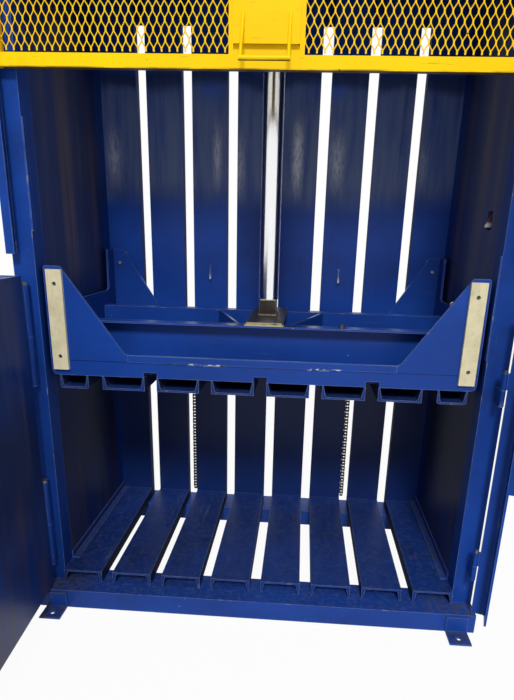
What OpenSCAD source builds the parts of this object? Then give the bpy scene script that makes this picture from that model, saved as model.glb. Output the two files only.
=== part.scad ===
/* [Chamber] */
// Inner width of the baling chamber
chamber_w = 1524; // [1200:4:1700]
// Inner depth of the baling chamber
chamber_d = 762; // [640:2:900]
// Number of structural channels across the floor, the platen and the rear wall
channel_n = 8; // [6:2:10]
// Gap between two channels, which takes a strap
strap_gap = 44; // [30:1:60]
// Flange height of the channels
channel_h = 49; // [40:1:60]
// Web thickness of the channels
channel_web = 7; // [5:0.5:10]
// Height at which the strap slots of the rear wall end
slot_top = 2233; // [2000:1:2400]

/* [Base] */
// Height of the base beams
beam_h = 76; // [60:1:90]
// How far the base beams stand out past the posts
beam_overhang = 76; // [50:1:90]
// Wall of the square and flat tubes of the frame
tube_wall = 6; // [4:0.5:8]
// Thickness of the plates that close the tube ends
cap_t = 4; // [3:0.5:6]
// Width of an anchor foot
foot_w = 80; // [60:1:100]
// Length of an anchor foot in front of the beam
foot_leg = 77; // [65:1:90]
// Height of an anchor foot on the beam's face
foot_h = 66; // [45:1:74]
// Thickness of an anchor foot
foot_t = 6.5; // [5:0.5:10]
// Distance from the beam's face to the anchor hole
foot_hole_y = 47; // [38:1:55]
// Distance from the machine's middle to the anchor holes, left and right
foot_x = 770; // [560:1:790]
// Diameter of the anchor holes
foot_hole_d = 16; // [14:0.5:22]
// Leg of the angles along the foot of the side walls
floor_angle_h = 30; // [20:1:40]

/* [Frame] */
// Width and depth of the posts
post_w = 76; // [64:1:90]
// Height of the frame
frame_h = 2760; // [2745:5:3000]
// Thickness of the side walls and the header panel
sheet_t = 6; // [4:0.5:8]
// Lower edge of the front header panel
header_z = 2110; // [2050:5:2300]
// Number of ribs outside each side wall
rib_n = 6; // [4:1:8]
// Height of a side rib
rib_h = 76; // [50:1:100]
// Height of the crosshead channels that carry the cylinder
crosshead_h = 200; // [150:5:260]
// Flange of the crosshead channels
crosshead_flange = 57; // [45:1:75]
// Length of the flat bars on the inner edges of the front posts
strip_len = 338; // [250:1:400]

/* [Platen] */
// Height of the platen's underside above the floor in this pose
platen_z = 866; // [700:1:1200]
// Travel of the platen upwards from this pose
platen_up = 1000; // [800:5:1050]
// Travel of the platen downwards from this pose
platen_down = 219; // [100:1:300]
// Gap between the platen and the side walls
side_gap = 15; // [12:1:25]
// Gap between the platen's end plates and the front and rear of the chamber
end_gap = 20; // [18:1:30]
// Thickness of the platen's end plates
end_t = 10; // [8:0.5:12]
// Height of the front plate between its wings
front_plate_h = 80; // [60:1:110]
// Height of the front wings
front_wing_h = 378; // [330:1:420]
// Height of the rear wings
rear_wing_h = 415; // [340:1:450]
// Width of a wing at its top
wing_top_w = 57; // [50:1:90]
// Width of a wing where it meets the low middle of the plate
wing_foot_w = 265; // [220:1:300]
// Radius of the lower corners of the end plates
plate_corner_r = 22; // [10:1:35]
// Height of the side plates between the wings
side_plate_h = 235; // [200:1:260]
// Width of the side plates' upright ends
side_leg_w = 90; // [60:1:120]
// Thickness of the side plates
side_plate_t = 8; // [6:0.5:10]
// Thickness of the platen's floor plate
floor_plate_t = 6; // [5:0.5:10]
// Height of the cross rails inside the platen
rail_h = 175; // [150:1:200]
// Flange of the cross rails
rail_flange = 50; // [40:1:60]
// Distance from the rod to the web of a cross rail
rail_y = 195; // [160:1:220]
// Height of the notches in the lower edge of the front plate
notch_h = 20; // [12:1:30]
// Width of the narrow outer channels of the platen
end_channel_w = 102; // [80:1:110]
// Height of the flat bar along the front plate's upper edge
edge_bar_h = 25; // [18:1:30]
// Length of a wear strip
wear_l = 345; // [280:1:350]
// Width of a wear strip
wear_w = 54; // [40:1:56]
// Thickness of a wear strip
wear_t = 12; // [8:0.5:14]
// Distance between the two screws of a wear strip
wear_pitch = 250; // [180:1:280]

/* [Door] */
// Gap between the base beam and the door
door_gap = 4; // [3:0.5:8]
// Height of the door
door_h = 1182; // [1100:1:1190]
// Depth of the door's tube frame
door_tube = 60; // [50:1:62]
// Thickness of the door's inner plate
door_plate_t = 6; // [5:0.5:8]
// How far the door stands open, in degrees
door_open = 86.4; // [60:0.1:110]
// Distance from the machine's middle to the hinge axis
door_hinge_x = 800; // [795:1:810]
// Distance from the posts' face to the hinge axis
door_hinge_y = 24; // [22:0.5:28]
// Outer diameter of the hinge barrels
barrel_d = 32; // [28:0.5:36]
// Length of a hinge barrel
barrel_l = 349; // [250:1:400]
// Depth of the bar that the latch hooks over
keeper_d = 24; // [15:1:26]
// Lower end of the lower hinge barrel
low_barrel_z = 160; // [130:1:200]
// Lower end of the upper hinge barrel
high_barrel_z = 882; // [760:1:900]

/* [Latch] */
// Distance from the machine's middle to the latch axis
latch_x = 809; // [806:1:814]
// Distance from the posts' face to the latch axis
latch_y = 57; // [50:1:64]
// Outer diameter of the latch knuckles
knuckle_d = 18; // [16:0.5:22]
// Length of a latch knuckle
knuckle_l = 114; // [80:1:130]
// Lower end of the lower latch knuckle
low_knuckle_z = 221; // [180:1:260]
// Lower end of the upper latch knuckle
high_knuckle_z = 888; // [780:1:950]
// Length of the latch bar
latch_l = 1117; // [1060:1:1150]
// Distance from the latch axis to the outer face of the latch bar
latch_reach = 66; // [64:1:75]
// Length of the leg that hooks over the door
latch_hook = 75; // [50:1:85]
// Thickness of the latch bar
latch_t = 8; // [6:0.5:10]
// Swing of the latch bar from the plane of the posts, in degrees
latch_open = 17; // [0:1:30]
// Lower edge of the slotted plate on the latch bar
lug_z = 606; // [560:1:640]
// Height of the slotted plate on the latch bar
lug_h = 130; // [110:1:170]
// How far the slotted plate stands out from the latch bar
lug_w = 100; // [94:1:110]
// Diameter of the swing bolt that holds the latch bar shut
bolt_d = 20; // [16:0.5:22]
// Length of the swing bolt from its pivot
bolt_l = 166; // [156:1:175]

/* [Gate] */
// Height of the gate's lower edge in this pose
gate_z = 1868; // [1600:1:1880]
// Height of the gate
gate_h = 850; // [840:1:860]
// Height of the gate's flat tube
gate_tube = 38; // [30:1:45]
// Depth of the gate's flat tube
gate_depth = 25; // [20:1:32]
// Half of the gate's width
gate_half_w = 828; // [822:1:829]
// Short pitch of the expanded metal
mesh_short = 46.8; // [40:0.2:70]
// Long pitch of the expanded metal
mesh_long = 101.6; // [90:0.2:140]
// Width of the strands of the expanded metal
mesh_strand = 6.4; // [4:0.1:10]
// Thickness of the expanded metal
mesh_t = 3; // [2:0.5:5]
// Width of the gate's plain middle plate
middle_w = 220; // [200:1:300]
// Width of the raised box on the middle plate
gate_box_w = 192; // [150:1:196]
// Depth of the raised box
gate_box_d = 13; // [10:1:30]
// Diameter of the gate handle's grip
handle_d = 14; // [12:0.5:18]
// Diameter of the gate handle's legs
handle_leg_d = 9; // [7:0.5:11]
// Length of the gate handle's grip
handle_l = 144; // [130:1:170]
// Lower end of the gate tracks
track_z = 1330; // [1290:1:1400]

/* [Cylinder] */
// Diameter of the piston rod
rod_d = 76.2; // [66:0.2:90]
// Bore of the cylinder
bore_d = 152.4; // [130:0.2:160]
// Outer diameter of the barrel
barrel_od = 178; // [170:1:186]
// Height of the piston
piston_h = 60; // [40:1:80]
// Height of the gland
gland_h = 80; // [60:1:110]
// Thickness of the barrel's upper cap
cyl_cap_t = 35; // [25:1:50]
// Diameter of the stub that seats the rod in its block
rod_stub_d = 50; // [40:1:54]
// Width of the block under the rod
rod_block_w = 67; // [62:1:80]
// Depth of the block under the rod
rod_block_l = 84; // [76:1:100]
// Height of the block under the rod
rod_block_h = 61; // [45:1:80]
// Width of the lower of the two plates under the rod
rod_plate_w = 142; // [120:1:180]
// Thickness of each plate under the rod
rod_plate_t = 6; // [5:0.5:12]

/* [Power unit] */
// Width of the oil tank
tank_w = 500; // [420:5:520]
// Depth of the oil tank
tank_d = 460; // [400:5:560]
// Height of the oil tank
tank_h = 320; // [260:5:420]
// Diameter of the motor's body
motor_d = 230; // [190:2:260]
// Length of the motor's body
motor_l = 270; // [220:2:300]
// Outer diameter of the hydraulic pipes
pipe_d = 25; // [20:1:32]

/* [Control box] */
// Width of the control box
box_w = 280; // [240:5:400]
// Depth of the control box
box_d = 180; // [140:5:240]
// Height of the control box
box_h = 400; // [340:5:500]
// Lower edge of the control box
box_z = 1400; // [1350:5:1500]

/* [Hidden] */

// Colours
blue = [0.11, 0.23, 0.55];
navy = [0.08, 0.14, 0.36];
yellow = [1, 0.83, 0];
cream = [0.87, 0.82, 0.64];
steel = [0.62, 0.63, 0.65];
chrome = [0.9, 0.91, 0.93];
dark = [0.2, 0.19, 0.18];
grey = [0.55, 0.57, 0.6];
red = [0.78, 0.1, 0.09];
green = [0.1, 0.5, 0.2];

// Places that follow from the sizes above; x runs to the right, y into the machine, z up
half_w = chamber_w / 2;
half_d = chamber_d / 2;
front_y = -half_d;
half_frame = half_w + post_w;
beam_front = front_y - beam_overhang;
beam_back = front_y + post_w;
top_rail_z = frame_h - post_w;

// Channels
channel_w = (chamber_w - (channel_n - 1) * strap_gap) / channel_n;
pitch = channel_w + strap_gap;
flange_root = 13;
flange_toe = 5.5;
flange_fillet = 8;
floor_z = beam_h + channel_h;
function channel_x(i) = (i - (channel_n - 1) / 2) * pitch;

// Platen
plate_z = platen_z + channel_h;
platen_half_w = half_w - side_gap;
platen_half_d = half_d - end_gap;
deck_z = plate_z + floor_plate_t;
rail_top = deck_z + rail_h;
rail_end = platen_half_w - side_plate_t - 2;
rail_front = rail_y + rail_flange;
rail_web = 6;
rail_flange_t = 9;
rod_plate_l = 2 * rail_front;
block_z = rail_top + 2 * rod_plate_t;
block_top = block_z + rod_block_h;
plate_step = 6;
gusset_t = 10;
gusset_rear_x = 218;
gusset_front_x = 92;
wear_edge = 12;
wear_top_gap = 11;
notch_w = strap_gap + 4;
notch_depth = 40;
screw_d = 8;
screw_head_d = 14;
screw_head_h = 4;
screw_sink = 5;
screw_rest = 4;
nut_h = 7;
nut_d = 15;

// Cylinder
seat_gap = 21;
cyl_z = block_top + platen_up + seat_gap;
piston_gap = 6;
piston_z = cyl_z + gland_h + platen_down + piston_gap;
cyl_top = piston_z + piston_h + platen_up + 10;
running = 0.1;
rod_seat = 30;
block_edge = 4;
mount_half = 170;
mount_t = 25;
collar_d = 232;
collar_h = 30;
port_d = 34;

// Gate
gate_back = front_y - 8;
gate_front = gate_back - gate_depth;
gate_wall = 3;
gate_up = 24;
track_top = gate_z + gate_h + gate_up + 10;
track_t = 5;
track_lip = 24;
track_back_lip = 14;
mesh_y = gate_back - gate_depth / 2;
gate_inner_x = gate_half_w - gate_tube;
box_foot = 62;
handle_reach = 75;
handle_foot_z = 136;
handle_grip_z = 7;
handle_end = 5;

// Door and latch axes
door_z = beam_h + door_gap;
door_top = door_z + door_h;
door_axis_y = front_y - door_hinge_y;
door_inner = 6;
door_edge = 24;
door_right = 1600;
door_front = door_inner - door_plate_t - door_tube;
pin_d = 20;
pin_head_h = 8;
latch_axis_y = front_y - latch_y;
latch_pin_d = 10;
latch_start = 13;
latch_z = door_z;
bush_gap = 0.4;

// Control box
box_x = half_frame + 10;
box_y = front_y + 12;
box_t = 2;
box_door_t = 2.5;
box_door_lip = 14;
button_x = box_x + box_w / 2;
stop_z = box_z + 95;
start_z = box_z + box_h - 80;
return_z = box_z + box_h - 145;
select_z = box_z + box_h - 210;
door_face = box_y - box_door_t - 0.5;
bezel_h = 4;
gland_d = 18;
gland_l = 24;
button_hole_d = 22.4;
stem_d = 22;

// A straight block given by its ranges
module block(x, y, z) {
    translate([x[0], y[0], z[0]]) cube([x[1] - x[0], y[1] - y[0], z[1] - z[0]]);
}

// The same thing on the left and on the right
module both_sides() {
    children();
    mirror([1, 0, 0]) children();
}

// The same thing at the front and at the rear
module front_and_rear() {
    children();
    mirror([0, 1, 0]) children();
}

// A rectangular tube along one axis, 0 for x, 1 for y and 2 for z
module rect_tube(x, y, z, axis, wall) {
    grow = [for (i = [0 : 2]) i == axis ? 1 : -wall];
    difference() {
        block(x, y, z);
        block([x[0] - grow[0], x[1] + grow[0]], [y[0] - grow[1], y[1] + grow[1]],
            [z[0] - grow[2], z[1] + grow[2]]);
    }
}

// Inner side of a rolled channel: tapered flanges and a fillet of radius r at each root
function channel_inside(w, h, web, root, toe, r) = concat([[w / 2 - toe, h]],
    [for (a = [0 : -30 : -90]) [w / 2 - root - r + r * cos(a), web + r + r * sin(a)]],
    [for (a = [270 : -30 : 180]) [-w / 2 + root + r + r * cos(a), web + r + r * sin(a)]],
    [[-w / 2 + toe, h]]);

// Section of a rolled channel: web on the x axis, flanges towards +y
module channel_section(w, h, web, root, toe, r = 3) {
    polygon(concat([[-w / 2, h], [-w / 2, 0], [w / 2, 0], [w / 2, h]],
        channel_inside(w, h, web, root, toe, r)));
}

module standard_channel(w) {
    channel_section(w, channel_h, channel_web, flange_root, flange_toe, flange_fillet);
}

// Plates, tubes and channels of the base
module base_beams() color(blue) {
    front_and_rear() rect_tube([-half_frame + cap_t, half_frame - cap_t], [beam_front, beam_back],
        [0, beam_h], 0, tube_wall);
    both_sides() rect_tube([half_w, half_frame], [beam_back, -beam_back], [0, beam_h], 1, tube_wall);
    both_sides() front_and_rear()
        block([half_frame - cap_t, half_frame], [beam_front, beam_back], [0, beam_h]);
}

module anchor_feet() color(blue) both_sides() front_and_rear() difference() {
    union() {
        block([foot_x - foot_w / 2, foot_x + foot_w / 2], [beam_front - foot_t, beam_front],
            [0, foot_h]);
        block([foot_x - foot_w / 2, foot_x + foot_w / 2], [beam_front - foot_leg, beam_front],
            [0, foot_t]);
    }
    translate([foot_x, beam_front - foot_hole_y, -1])
        cylinder(d = foot_hole_d, h = foot_t + 2, $fn = 32);
}

module floor_channels() color(blue) for (i = [0 : channel_n - 1])
    translate([channel_x(i), half_d, floor_z]) rotate([90, 0, 0])
        linear_extrude(chamber_d + 12) mirror([0, 1, 0]) standard_channel(channel_w);

module floor_angles() color(blue) both_sides() {
    block([half_w - floor_angle_h, half_w], [beam_back, half_d], [floor_z, floor_z + 5]);
    block([half_w - 5, half_w], [beam_back, half_d], [floor_z + 5, floor_z + floor_angle_h]);
}

// Posts and walls
module post(y0, y1) {
    rect_tube([half_w, half_frame], [y0, y1], [beam_h, frame_h - cap_t], 2, tube_wall);
    block([half_w, half_frame], [y0, y1], [frame_h - cap_t, frame_h]);
}

// The front posts carry a flat bar at different heights on their inner edges
right_strip_z = 1028;
left_strip_z = 1403;
strip_t = 4;
module front_posts() color(blue) {
    both_sides() post(front_y, beam_back);
    block([half_w - strip_t, half_w], [front_y + 1, front_y + 21],
        [right_strip_z, right_strip_z + strip_len]);
    block([-half_w, -half_w + strip_t], [front_y + 1, front_y + 21],
        [left_strip_z, left_strip_z + strip_len]);
}

module rear_posts() color(blue) both_sides() post(-beam_back, half_d);

module side_wall() {
    block([half_w, half_w + sheet_t], [beam_back, -beam_back], [beam_h, top_rail_z]);
}

// Opening of the retaining finger in the right side wall, below one of the ribs
dog_y = front_y + 160;
dog_w = 50;
dog_h = 61;
dog_wall = 4;
dog_room = 6;
dog_gap = 41 + 1 / 3;
dog_z = rib_z(floor(0.6 * rib_n)) - rib_h / 2 - dog_gap - dog_wall - dog_room - dog_h;
function rib_z(i) = beam_h + (i + 0.5) * (top_rail_z - beam_h) / rib_n;

module side_walls() color(blue) {
    mirror([1, 0, 0]) side_wall();
    difference() {
        side_wall();
        block([half_w - 1, half_w + sheet_t + 1], [dog_y, dog_y + dog_w], [dog_z, dog_z + dog_h]);
    }
}

module side_ribs() color(blue) both_sides() for (i = [0 : rib_n - 1]) {
    translate([half_w + sheet_t, beam_back, rib_z(i)]) rotate([-90, 0, 0])
        linear_extrude(-2 * beam_back) rotate(90) mirror([0, 1, 0])
            channel_section(rib_h, post_w - sheet_t, tube_wall, 8, 6);
}

module rear_wall_channels() color(blue) for (i = [0 : channel_n - 1])
    translate([channel_x(i), half_d, beam_h]) linear_extrude(top_rail_z - beam_h)
        standard_channel(channel_w);

rear_plate_y = half_d + channel_h;
mid_rail_z = 820;
mid_rail_h = 76;
mid_rail_d = 51;
module rear_rails() color(blue) {
    block([-half_w, half_w], [rear_plate_y, rear_plate_y + sheet_t], [slot_top, top_rail_z]);
    rect_tube([-half_w, half_w], [rear_plate_y, rear_plate_y + mid_rail_d],
        [mid_rail_z, mid_rail_z + mid_rail_h], 0, tube_wall);
}

// Teeth on the rear wall that hold the bale down, and the pins that the ejector chains hang on
tooth_x = 1.5 * pitch;
tooth_z = 1210;
tooth_h = 60;
tooth_t = 8;
tooth_tip = 6;
tooth_reach = end_gap - 4;
chain_x = 2 * pitch - strap_gap / 2 + 12;
chain_y = half_d + 25;
chain_pitch = 15.875;
chain_links = 46;
chain_top = mid_rail_z + 40;
module rear_pegs() color(steel) both_sides() {
    translate([tooth_x - tooth_t / 2, half_d, tooth_z]) rotate([90, 0, 90]) linear_extrude(tooth_t)
        polygon([[0, 0], [0, tooth_h], [-tooth_reach, tooth_tip], [-tooth_reach, 0]]);
    translate([2 * pitch - strap_gap / 2, chain_y, chain_top]) rotate([0, 90, 0])
        cylinder(d = 5, h = strap_gap, $fn = 24);
}

// Front view of the ejector chain: outer and inner links in turn, open between the rollers
chain_half = 9.5;
chain_l = chain_links * chain_pitch;
module chain_front() difference() {
    union() {
        translate([-chain_half + 1.8, -chain_l - 4]) square([2 * chain_half - 3.6, chain_l + 8]);
        for (i = [0 : 2 : chain_links - 2]) translate([-chain_half, -(i + 1) * chain_pitch - 4])
            square([2 * chain_half, chain_pitch + 8]);
    }
    for (i = [0 : chain_links - 1]) translate([-4.6, -(i + 1) * chain_pitch + 4])
        square([9.2, chain_pitch - 8]);
}

// Side view of the same chain: each link plate is narrow between its two pins
module chain_side() {
    w = 5.6;
    waist = 4;
    right = [for (i = [0 : chain_links - 1]) each [[w, -i * chain_pitch - 3],
        [waist, -i * chain_pitch - 6], [waist, -(i + 1) * chain_pitch + 6],
        [w, -(i + 1) * chain_pitch + 3]]];
    left = [for (i = [len(right) - 1 : -1 : 0]) [-right[i][0], right[i][1]]];
    polygon(concat([[-w + 2, 5], [w - 2, 5], [w, 3]], right, [[w - 2, -chain_l - 4],
        [-w + 2, -chain_l - 4]], left, [[-w, 3]]));
}

module ejector_chains() color(dark) both_sides() translate([chain_x, chain_y, chain_top])
    difference() {
        intersection() {
            rotate([90, 0, 0]) linear_extrude(20, center = true) chain_front_top();
            rotate([90, 0, 90]) linear_extrude(2 * chain_half + 2, center = true) chain_side();
        }
        translate([-15, 0, 0]) rotate([0, 90, 0]) cylinder(d = 5.2, h = 30, $fn = 24);
    }

// The top link ends above the pin that it hangs on
module chain_front_top() {
    chain_front();
    translate([-chain_half, -4]) square([2 * chain_half, 12]);
}

// Top of the frame
module top_rails() color(blue) {
    front_and_rear() rect_tube([-half_w, half_w], [front_y, beam_back], [top_rail_z, frame_h], 0,
        tube_wall);
    both_sides() rect_tube([half_w, half_frame], [beam_back, -beam_back], [top_rail_z, frame_h],
        1, tube_wall);
}

crosshead_y = barrel_od / 2 + 6;
module crosshead() color(blue) front_and_rear()
    translate([-half_w, crosshead_y, frame_h - crosshead_h / 2]) rotate([90, 0, 90])
        linear_extrude(chamber_w) rotate(-90) channel_section(crosshead_h, crosshead_flange, 7, 11, 8);

module top_plates() color(blue) {
    difference() {
        block([-mount_half, mount_half], [-mount_half, mount_half], [frame_h, frame_h + mount_t]);
        translate([0, 0, frame_h - 1]) cylinder(d = barrel_od + 1, h = mount_t + 2, $fn = 64);
    }
    block([-half_frame, -mount_half - 50], [front_y, half_d], [frame_h, frame_h + 6]);
}

module header_panel() color(blue)
    block([-half_w, half_w], [front_y, front_y + sheet_t], [header_z, top_rail_z]);

// Tracks that the gate's sides run in, flats on the posts and the retaining finger
track_front = gate_front - 4;
track_web_x = gate_half_w + 4;
module gate_tracks() color(blue) both_sides() {
    block([track_web_x, track_web_x + track_t], [track_front - track_t, front_y],
        [track_z, track_top]);
    block([track_web_x - track_lip, track_web_x], [track_front - track_t, track_front],
        [track_z, track_top]);
    block([track_web_x - track_back_lip, track_web_x], [front_y - track_t, front_y],
        [track_z, track_top]);
}

dog_box_d = 44;
dog_pivot_x = half_w + sheet_t + 16;
dog_pivot_z = dog_z + dog_h - 8;
dog_pin_d = 10;
dog_finger_w = 12;
dog_reach = dog_pivot_x - half_w + 10;
dog_drop = dog_pivot_z - dog_z - 9;
module dog_box() color(navy) {
    y0 = dog_y - dog_wall;
    y1 = dog_y + dog_w + dog_wall;
    z0 = dog_z - dog_room;
    z1 = dog_z + dog_h + dog_room;
    difference() {
        block([half_w + sheet_t, half_w + sheet_t + dog_box_d], [y0, y1],
            [z0 - dog_wall, z1 + dog_wall]);
        block([half_w, half_w + sheet_t + dog_box_d - dog_wall], [dog_y, dog_y + dog_w], [z0, z1]);
    }
    translate([dog_pivot_x, y0, dog_pivot_z]) rotate([-90, 0, 0])
        cylinder(d = dog_pin_d, h = y1 - y0, $fn = 32);
}

// The finger hangs in its slot with its tip over the bale and folds back as the bale passes
module dog_finger() color(steel)
    translate([dog_pivot_x, dog_y + dog_w - 3, dog_pivot_z]) rotate([90, 0, 0])
        linear_extrude(dog_finger_w) difference() {
            union() {
                circle(d = dog_pin_d + 10, $fn = 48);
                polygon([[-8, 6], [-dog_reach, 4 - dog_drop], [-dog_reach, -dog_drop],
                    [-dog_reach + 18, -dog_drop], [9, -4]]);
            }
            circle(d = dog_pin_d + 2 * running, $fn = 48);
        }

// Cylinder
module cylinder_barrel() color(blue) {
    difference() {
        union() {
            translate([0, 0, cyl_z + gland_h]) cylinder(d = barrel_od,
                h = cyl_top + cyl_cap_t - cyl_z - gland_h, $fn = 96);
            translate([0, 0, frame_h + mount_t]) cylinder(d = collar_d, h = collar_h, $fn = 96);
            port(upper_port_z);
            port(lower_port_z);
        }
        translate([0, 0, cyl_z]) cylinder(d = bore_d, h = cyl_top - cyl_z, $fn = 96);
        for (z = [upper_port_z, lower_port_z])
            translate([0, 0, z]) rotate([0, -90, 0]) cylinder(d = 14, h = barrel_od, $fn = 24);
    }
}

port_x = barrel_od / 2 + 14;
module port(z) {
    translate([0, 0, z]) rotate([0, -90, 0]) cylinder(d = port_d, h = port_x, $fn = 32);
}

module cylinder_gland() color(dark) difference() {
    union() {
        translate([0, 0, cyl_z]) cylinder(d = barrel_od + 6, h = gland_h, $fn = 96);
    }
    translate([0, 0, cyl_z - 1]) cylinder(d = rod_d + 2 * running, h = gland_h + 2, $fn = 96);
}

// Hydraulic power unit on the top plate
tank_x = -half_frame + 30 + tank_w / 2;
tank_z = frame_h + 6 + 20;
lid_z = tank_z + tank_h;
lid_t = 6;
deck_top = lid_z + lid_t;
motor_x = tank_x - 60;
motor_z = deck_top + motor_d / 2 + 18;
module oil_tank() color(blue) {
    difference() {
        block([tank_x - tank_w / 2, tank_x + tank_w / 2], [-tank_d / 2, tank_d / 2],
            [tank_z, lid_z]);
        block([tank_x - tank_w / 2 + 4, tank_x + tank_w / 2 - 4],
            [-tank_d / 2 + 4, tank_d / 2 - 4], [tank_z + 4, lid_z + 1]);
    }
    block([tank_x - tank_w / 2 - 12, tank_x + tank_w / 2 + 12],
        [-tank_d / 2 - 12, tank_d / 2 + 12], [lid_z, deck_top]);
    for (s = [-1, 1]) block([tank_x + s * (tank_w / 2 - 40) - 20, tank_x + s * (tank_w / 2 - 40) + 20],
        [-tank_d / 2, tank_d / 2], [tank_z - 20, tank_z]);
}

// A motor with cooling ribs, lying along y
fin_n = 28;
module drive_motor() color(grey) translate([motor_x, 0, motor_z]) {
    rotate([90, 0, 0]) {
        translate([0, 0, -motor_l / 2 + 40]) cylinder(d = motor_d - 24, h = motor_l - 20, $fn = 64);
        translate([0, 0, -motor_l / 2 + 50]) linear_extrude(motor_l - 40)
            for (i = [0 : fin_n - 1]) rotate(i * 360 / fin_n)
                translate([motor_d / 2 - 18, -1.5]) square([18, 3]);
        translate([0, 0, motor_l / 2 + 20]) cylinder(d1 = motor_d, d2 = motor_d - 16, h = 60, $fn = 64);
        translate([0, 0, -motor_l / 2 + 26]) cylinder(d = motor_d, h = 14, $fn = 64);
    }
    for (s = [-1, 1]) block([s * 70 - 22, s * 70 + 22], [-motor_l / 2 + 30, motor_l / 2 - 30],
        [-motor_d / 2 - 18, -motor_d / 2 + 34]);
    block([-48, 48], [-60, 50], [motor_d / 2 - 20, motor_d / 2 + 46]);
}

pump_y = motor_l / 2 - 26;
module gear_pump() color(dark) translate([motor_x, pump_y, motor_z]) rotate([-90, 0, 0]) {
    cylinder(d1 = motor_d - 20, d2 = 110, h = 60, $fn = 64);
    translate([-45, -58, 60]) cube([90, 116, 74]);
    translate([0, 0, 134]) cylinder(d = 70, h = 10, $fn = 48);
}

valve_x = tank_x + tank_w / 2 - 90;
valve_z = deck_top;
module valve_block() color(steel) translate([valve_x, 0, valve_z]) {
    block([-55, 55], [-75, 75], [0, 90]);
    block([-32, 32], [-28, 28], [90, 135]);
    for (s = [-1, 1]) translate([0, s * 28, 112]) rotate([s * -90, 0, 0])
        cylinder(d = 38, h = 66, $fn = 32);
}

filter_d = 96;
filter_h = 150;
filter_neck_d = 70;
filter_neck_h = 26;
filter_y = tank_d / 2 - 65;
filler_neck_d = 52;
filler_neck_h = 40;
filler_cap_d = 74;
filler_cap_h = 30;
module oil_filter() color(grey) translate([valve_x - 10, filter_y, deck_top]) {
    cylinder(d = filter_neck_d, h = filter_neck_h, $fn = 48);
    translate([0, 0, filter_neck_h]) cylinder(d = filter_d, h = filter_h, $fn = 48);
    translate([-20, -2 * filter_y, 0]) {
        cylinder(d = filler_neck_d, h = filler_neck_h, $fn = 32);
        translate([0, 0, filler_neck_h]) cylinder(d = filler_cap_d, h = filler_cap_h, $fn = 32);
    }
}

// A pipe along straight level or upright stretches with an elbow fitting at each bend
elbow = 34;
module pipe(points) {
    for (i = [0 : len(points) - 2]) {
        d = points[i + 1] - points[i];
        turn = [0, acos(d[2] / norm(d)), atan2(d[1], d[0])];
        translate(points[i]) rotate(turn) cylinder(d = pipe_d, h = norm(d), $fn = 24);
        if (i > 0) translate(points[i]) cube(elbow, center = true);
    }
}

upper_pipe_x = port_x + 45;
lower_pipe_x = mount_half + 25;
upper_port_z = cyl_top - 40;
lower_port_z = cyl_z + gland_h + 40;
valve_face = valve_x + 55;
module hydraulic_pipes() color(steel) {
    for (z = [upper_port_z, lower_port_z]) translate([-port_x, 0, z]) rotate([0, -90, 0])
        cylinder(d = 38, h = 12, $fn = 6);
    pipe([[-port_x, 0, upper_port_z], [-upper_pipe_x, 0, upper_port_z],
        [-upper_pipe_x, 0, valve_z + 65], [valve_face, 0, valve_z + 65]]);
    pipe([[-port_x, 0, lower_port_z], [-lower_pipe_x, 0, lower_port_z],
        [-lower_pipe_x, 0, valve_z + 25], [valve_face, 0, valve_z + 25]]);
}

// Control box beside the right front post
module control_box() color(blue) {
    difference() {
        block([box_x, box_x + box_w], [box_y, box_y + box_d], [box_z, box_z + box_h]);
        block([box_x + box_t, box_x + box_w - box_t], [box_y - 1, box_y + box_d - box_t],
            [box_z + box_t, box_z + box_h - box_t]);
        translate([box_x + box_w / 2, box_y + box_d / 2, box_z - 1])
            cylinder(d = gland_d, h = box_t + 2, $fn = 48);
    }
    for (z = [box_z + 40, box_z + box_h - 80])
        block([half_frame, box_x], [box_y + 10, box_y + 54], [z, z + 40]);
    translate([box_x + box_w / 2, box_y + box_d / 2, 0]) difference() {
        translate([0, 0, box_z - gland_l]) cylinder(d = 34, h = gland_l, $fn = 48);
        translate([0, 0, box_z - gland_l - 1]) cylinder(d = gland_d, h = gland_l + 2, $fn = 48);
    }
}

// The box door turns on two hinge pins at its right edge
box_hinge_x = box_x + box_w + 9;
box_hinge_y = box_y - 5;
box_pin_d = 6;
box_barrel_d = 12;
box_barrel_l = 36;
door_gasket = 0.5;
module box_hinges() color(steel) for (z = [box_z + 50, box_z + box_h - 90])
    translate([box_hinge_x, box_hinge_y, z]) {
        cylinder(d = box_pin_d, h = box_barrel_l + 2, $fn = 32);
        translate([0, 0, -14]) cylinder(d = box_barrel_d, h = 14, $fn = 32);
        block([box_x + box_w - box_hinge_x, 0], [3, 6], [-14, 0]);
        block([box_x + box_w - box_hinge_x, box_x + box_w - box_hinge_x + 3],
            [3, 30], [-14, 0]);
    }

module control_door() color(blue) difference() {
    union() {
        block([box_x - 3, box_hinge_x - box_barrel_d / 2 + 1], [box_y - box_door_t - door_gasket,
            box_y - door_gasket], [box_z - 3, box_z + box_h + 3]);
        for (z = [box_z + 50, box_z + box_h - 90]) translate([box_hinge_x, box_hinge_y, z + bush_gap])
            cylinder(d = box_barrel_d, h = box_barrel_l - bush_gap, $fn = 32);
        for (z = [stop_z, start_z, return_z, select_z]) translate([button_x, door_face, z])
            rotate([90, 0, 0]) cylinder(d = button_hole_d + 8, h = bezel_h, $fn = 48);
    }
    for (z = [stop_z, start_z, return_z, select_z]) translate([button_x, box_y, z])
        rotate([90, 0, 0]) cylinder(d = button_hole_d, h = 2 * box_d, center = true, $fn = 48);
    for (z = [box_z + 50, box_z + box_h - 90]) translate([box_hinge_x, box_hinge_y, z - 20])
        cylinder(d = box_pin_d + 2 * running, h = box_barrel_l + 40, $fn = 32);
    for (z = [box_z + 50, box_z + box_h - 90]) translate([box_hinge_x, box_hinge_y, z])
        block([-box_barrel_d, box_barrel_d], [-box_barrel_d, box_barrel_d], [-15, bush_gap]);
}

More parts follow.
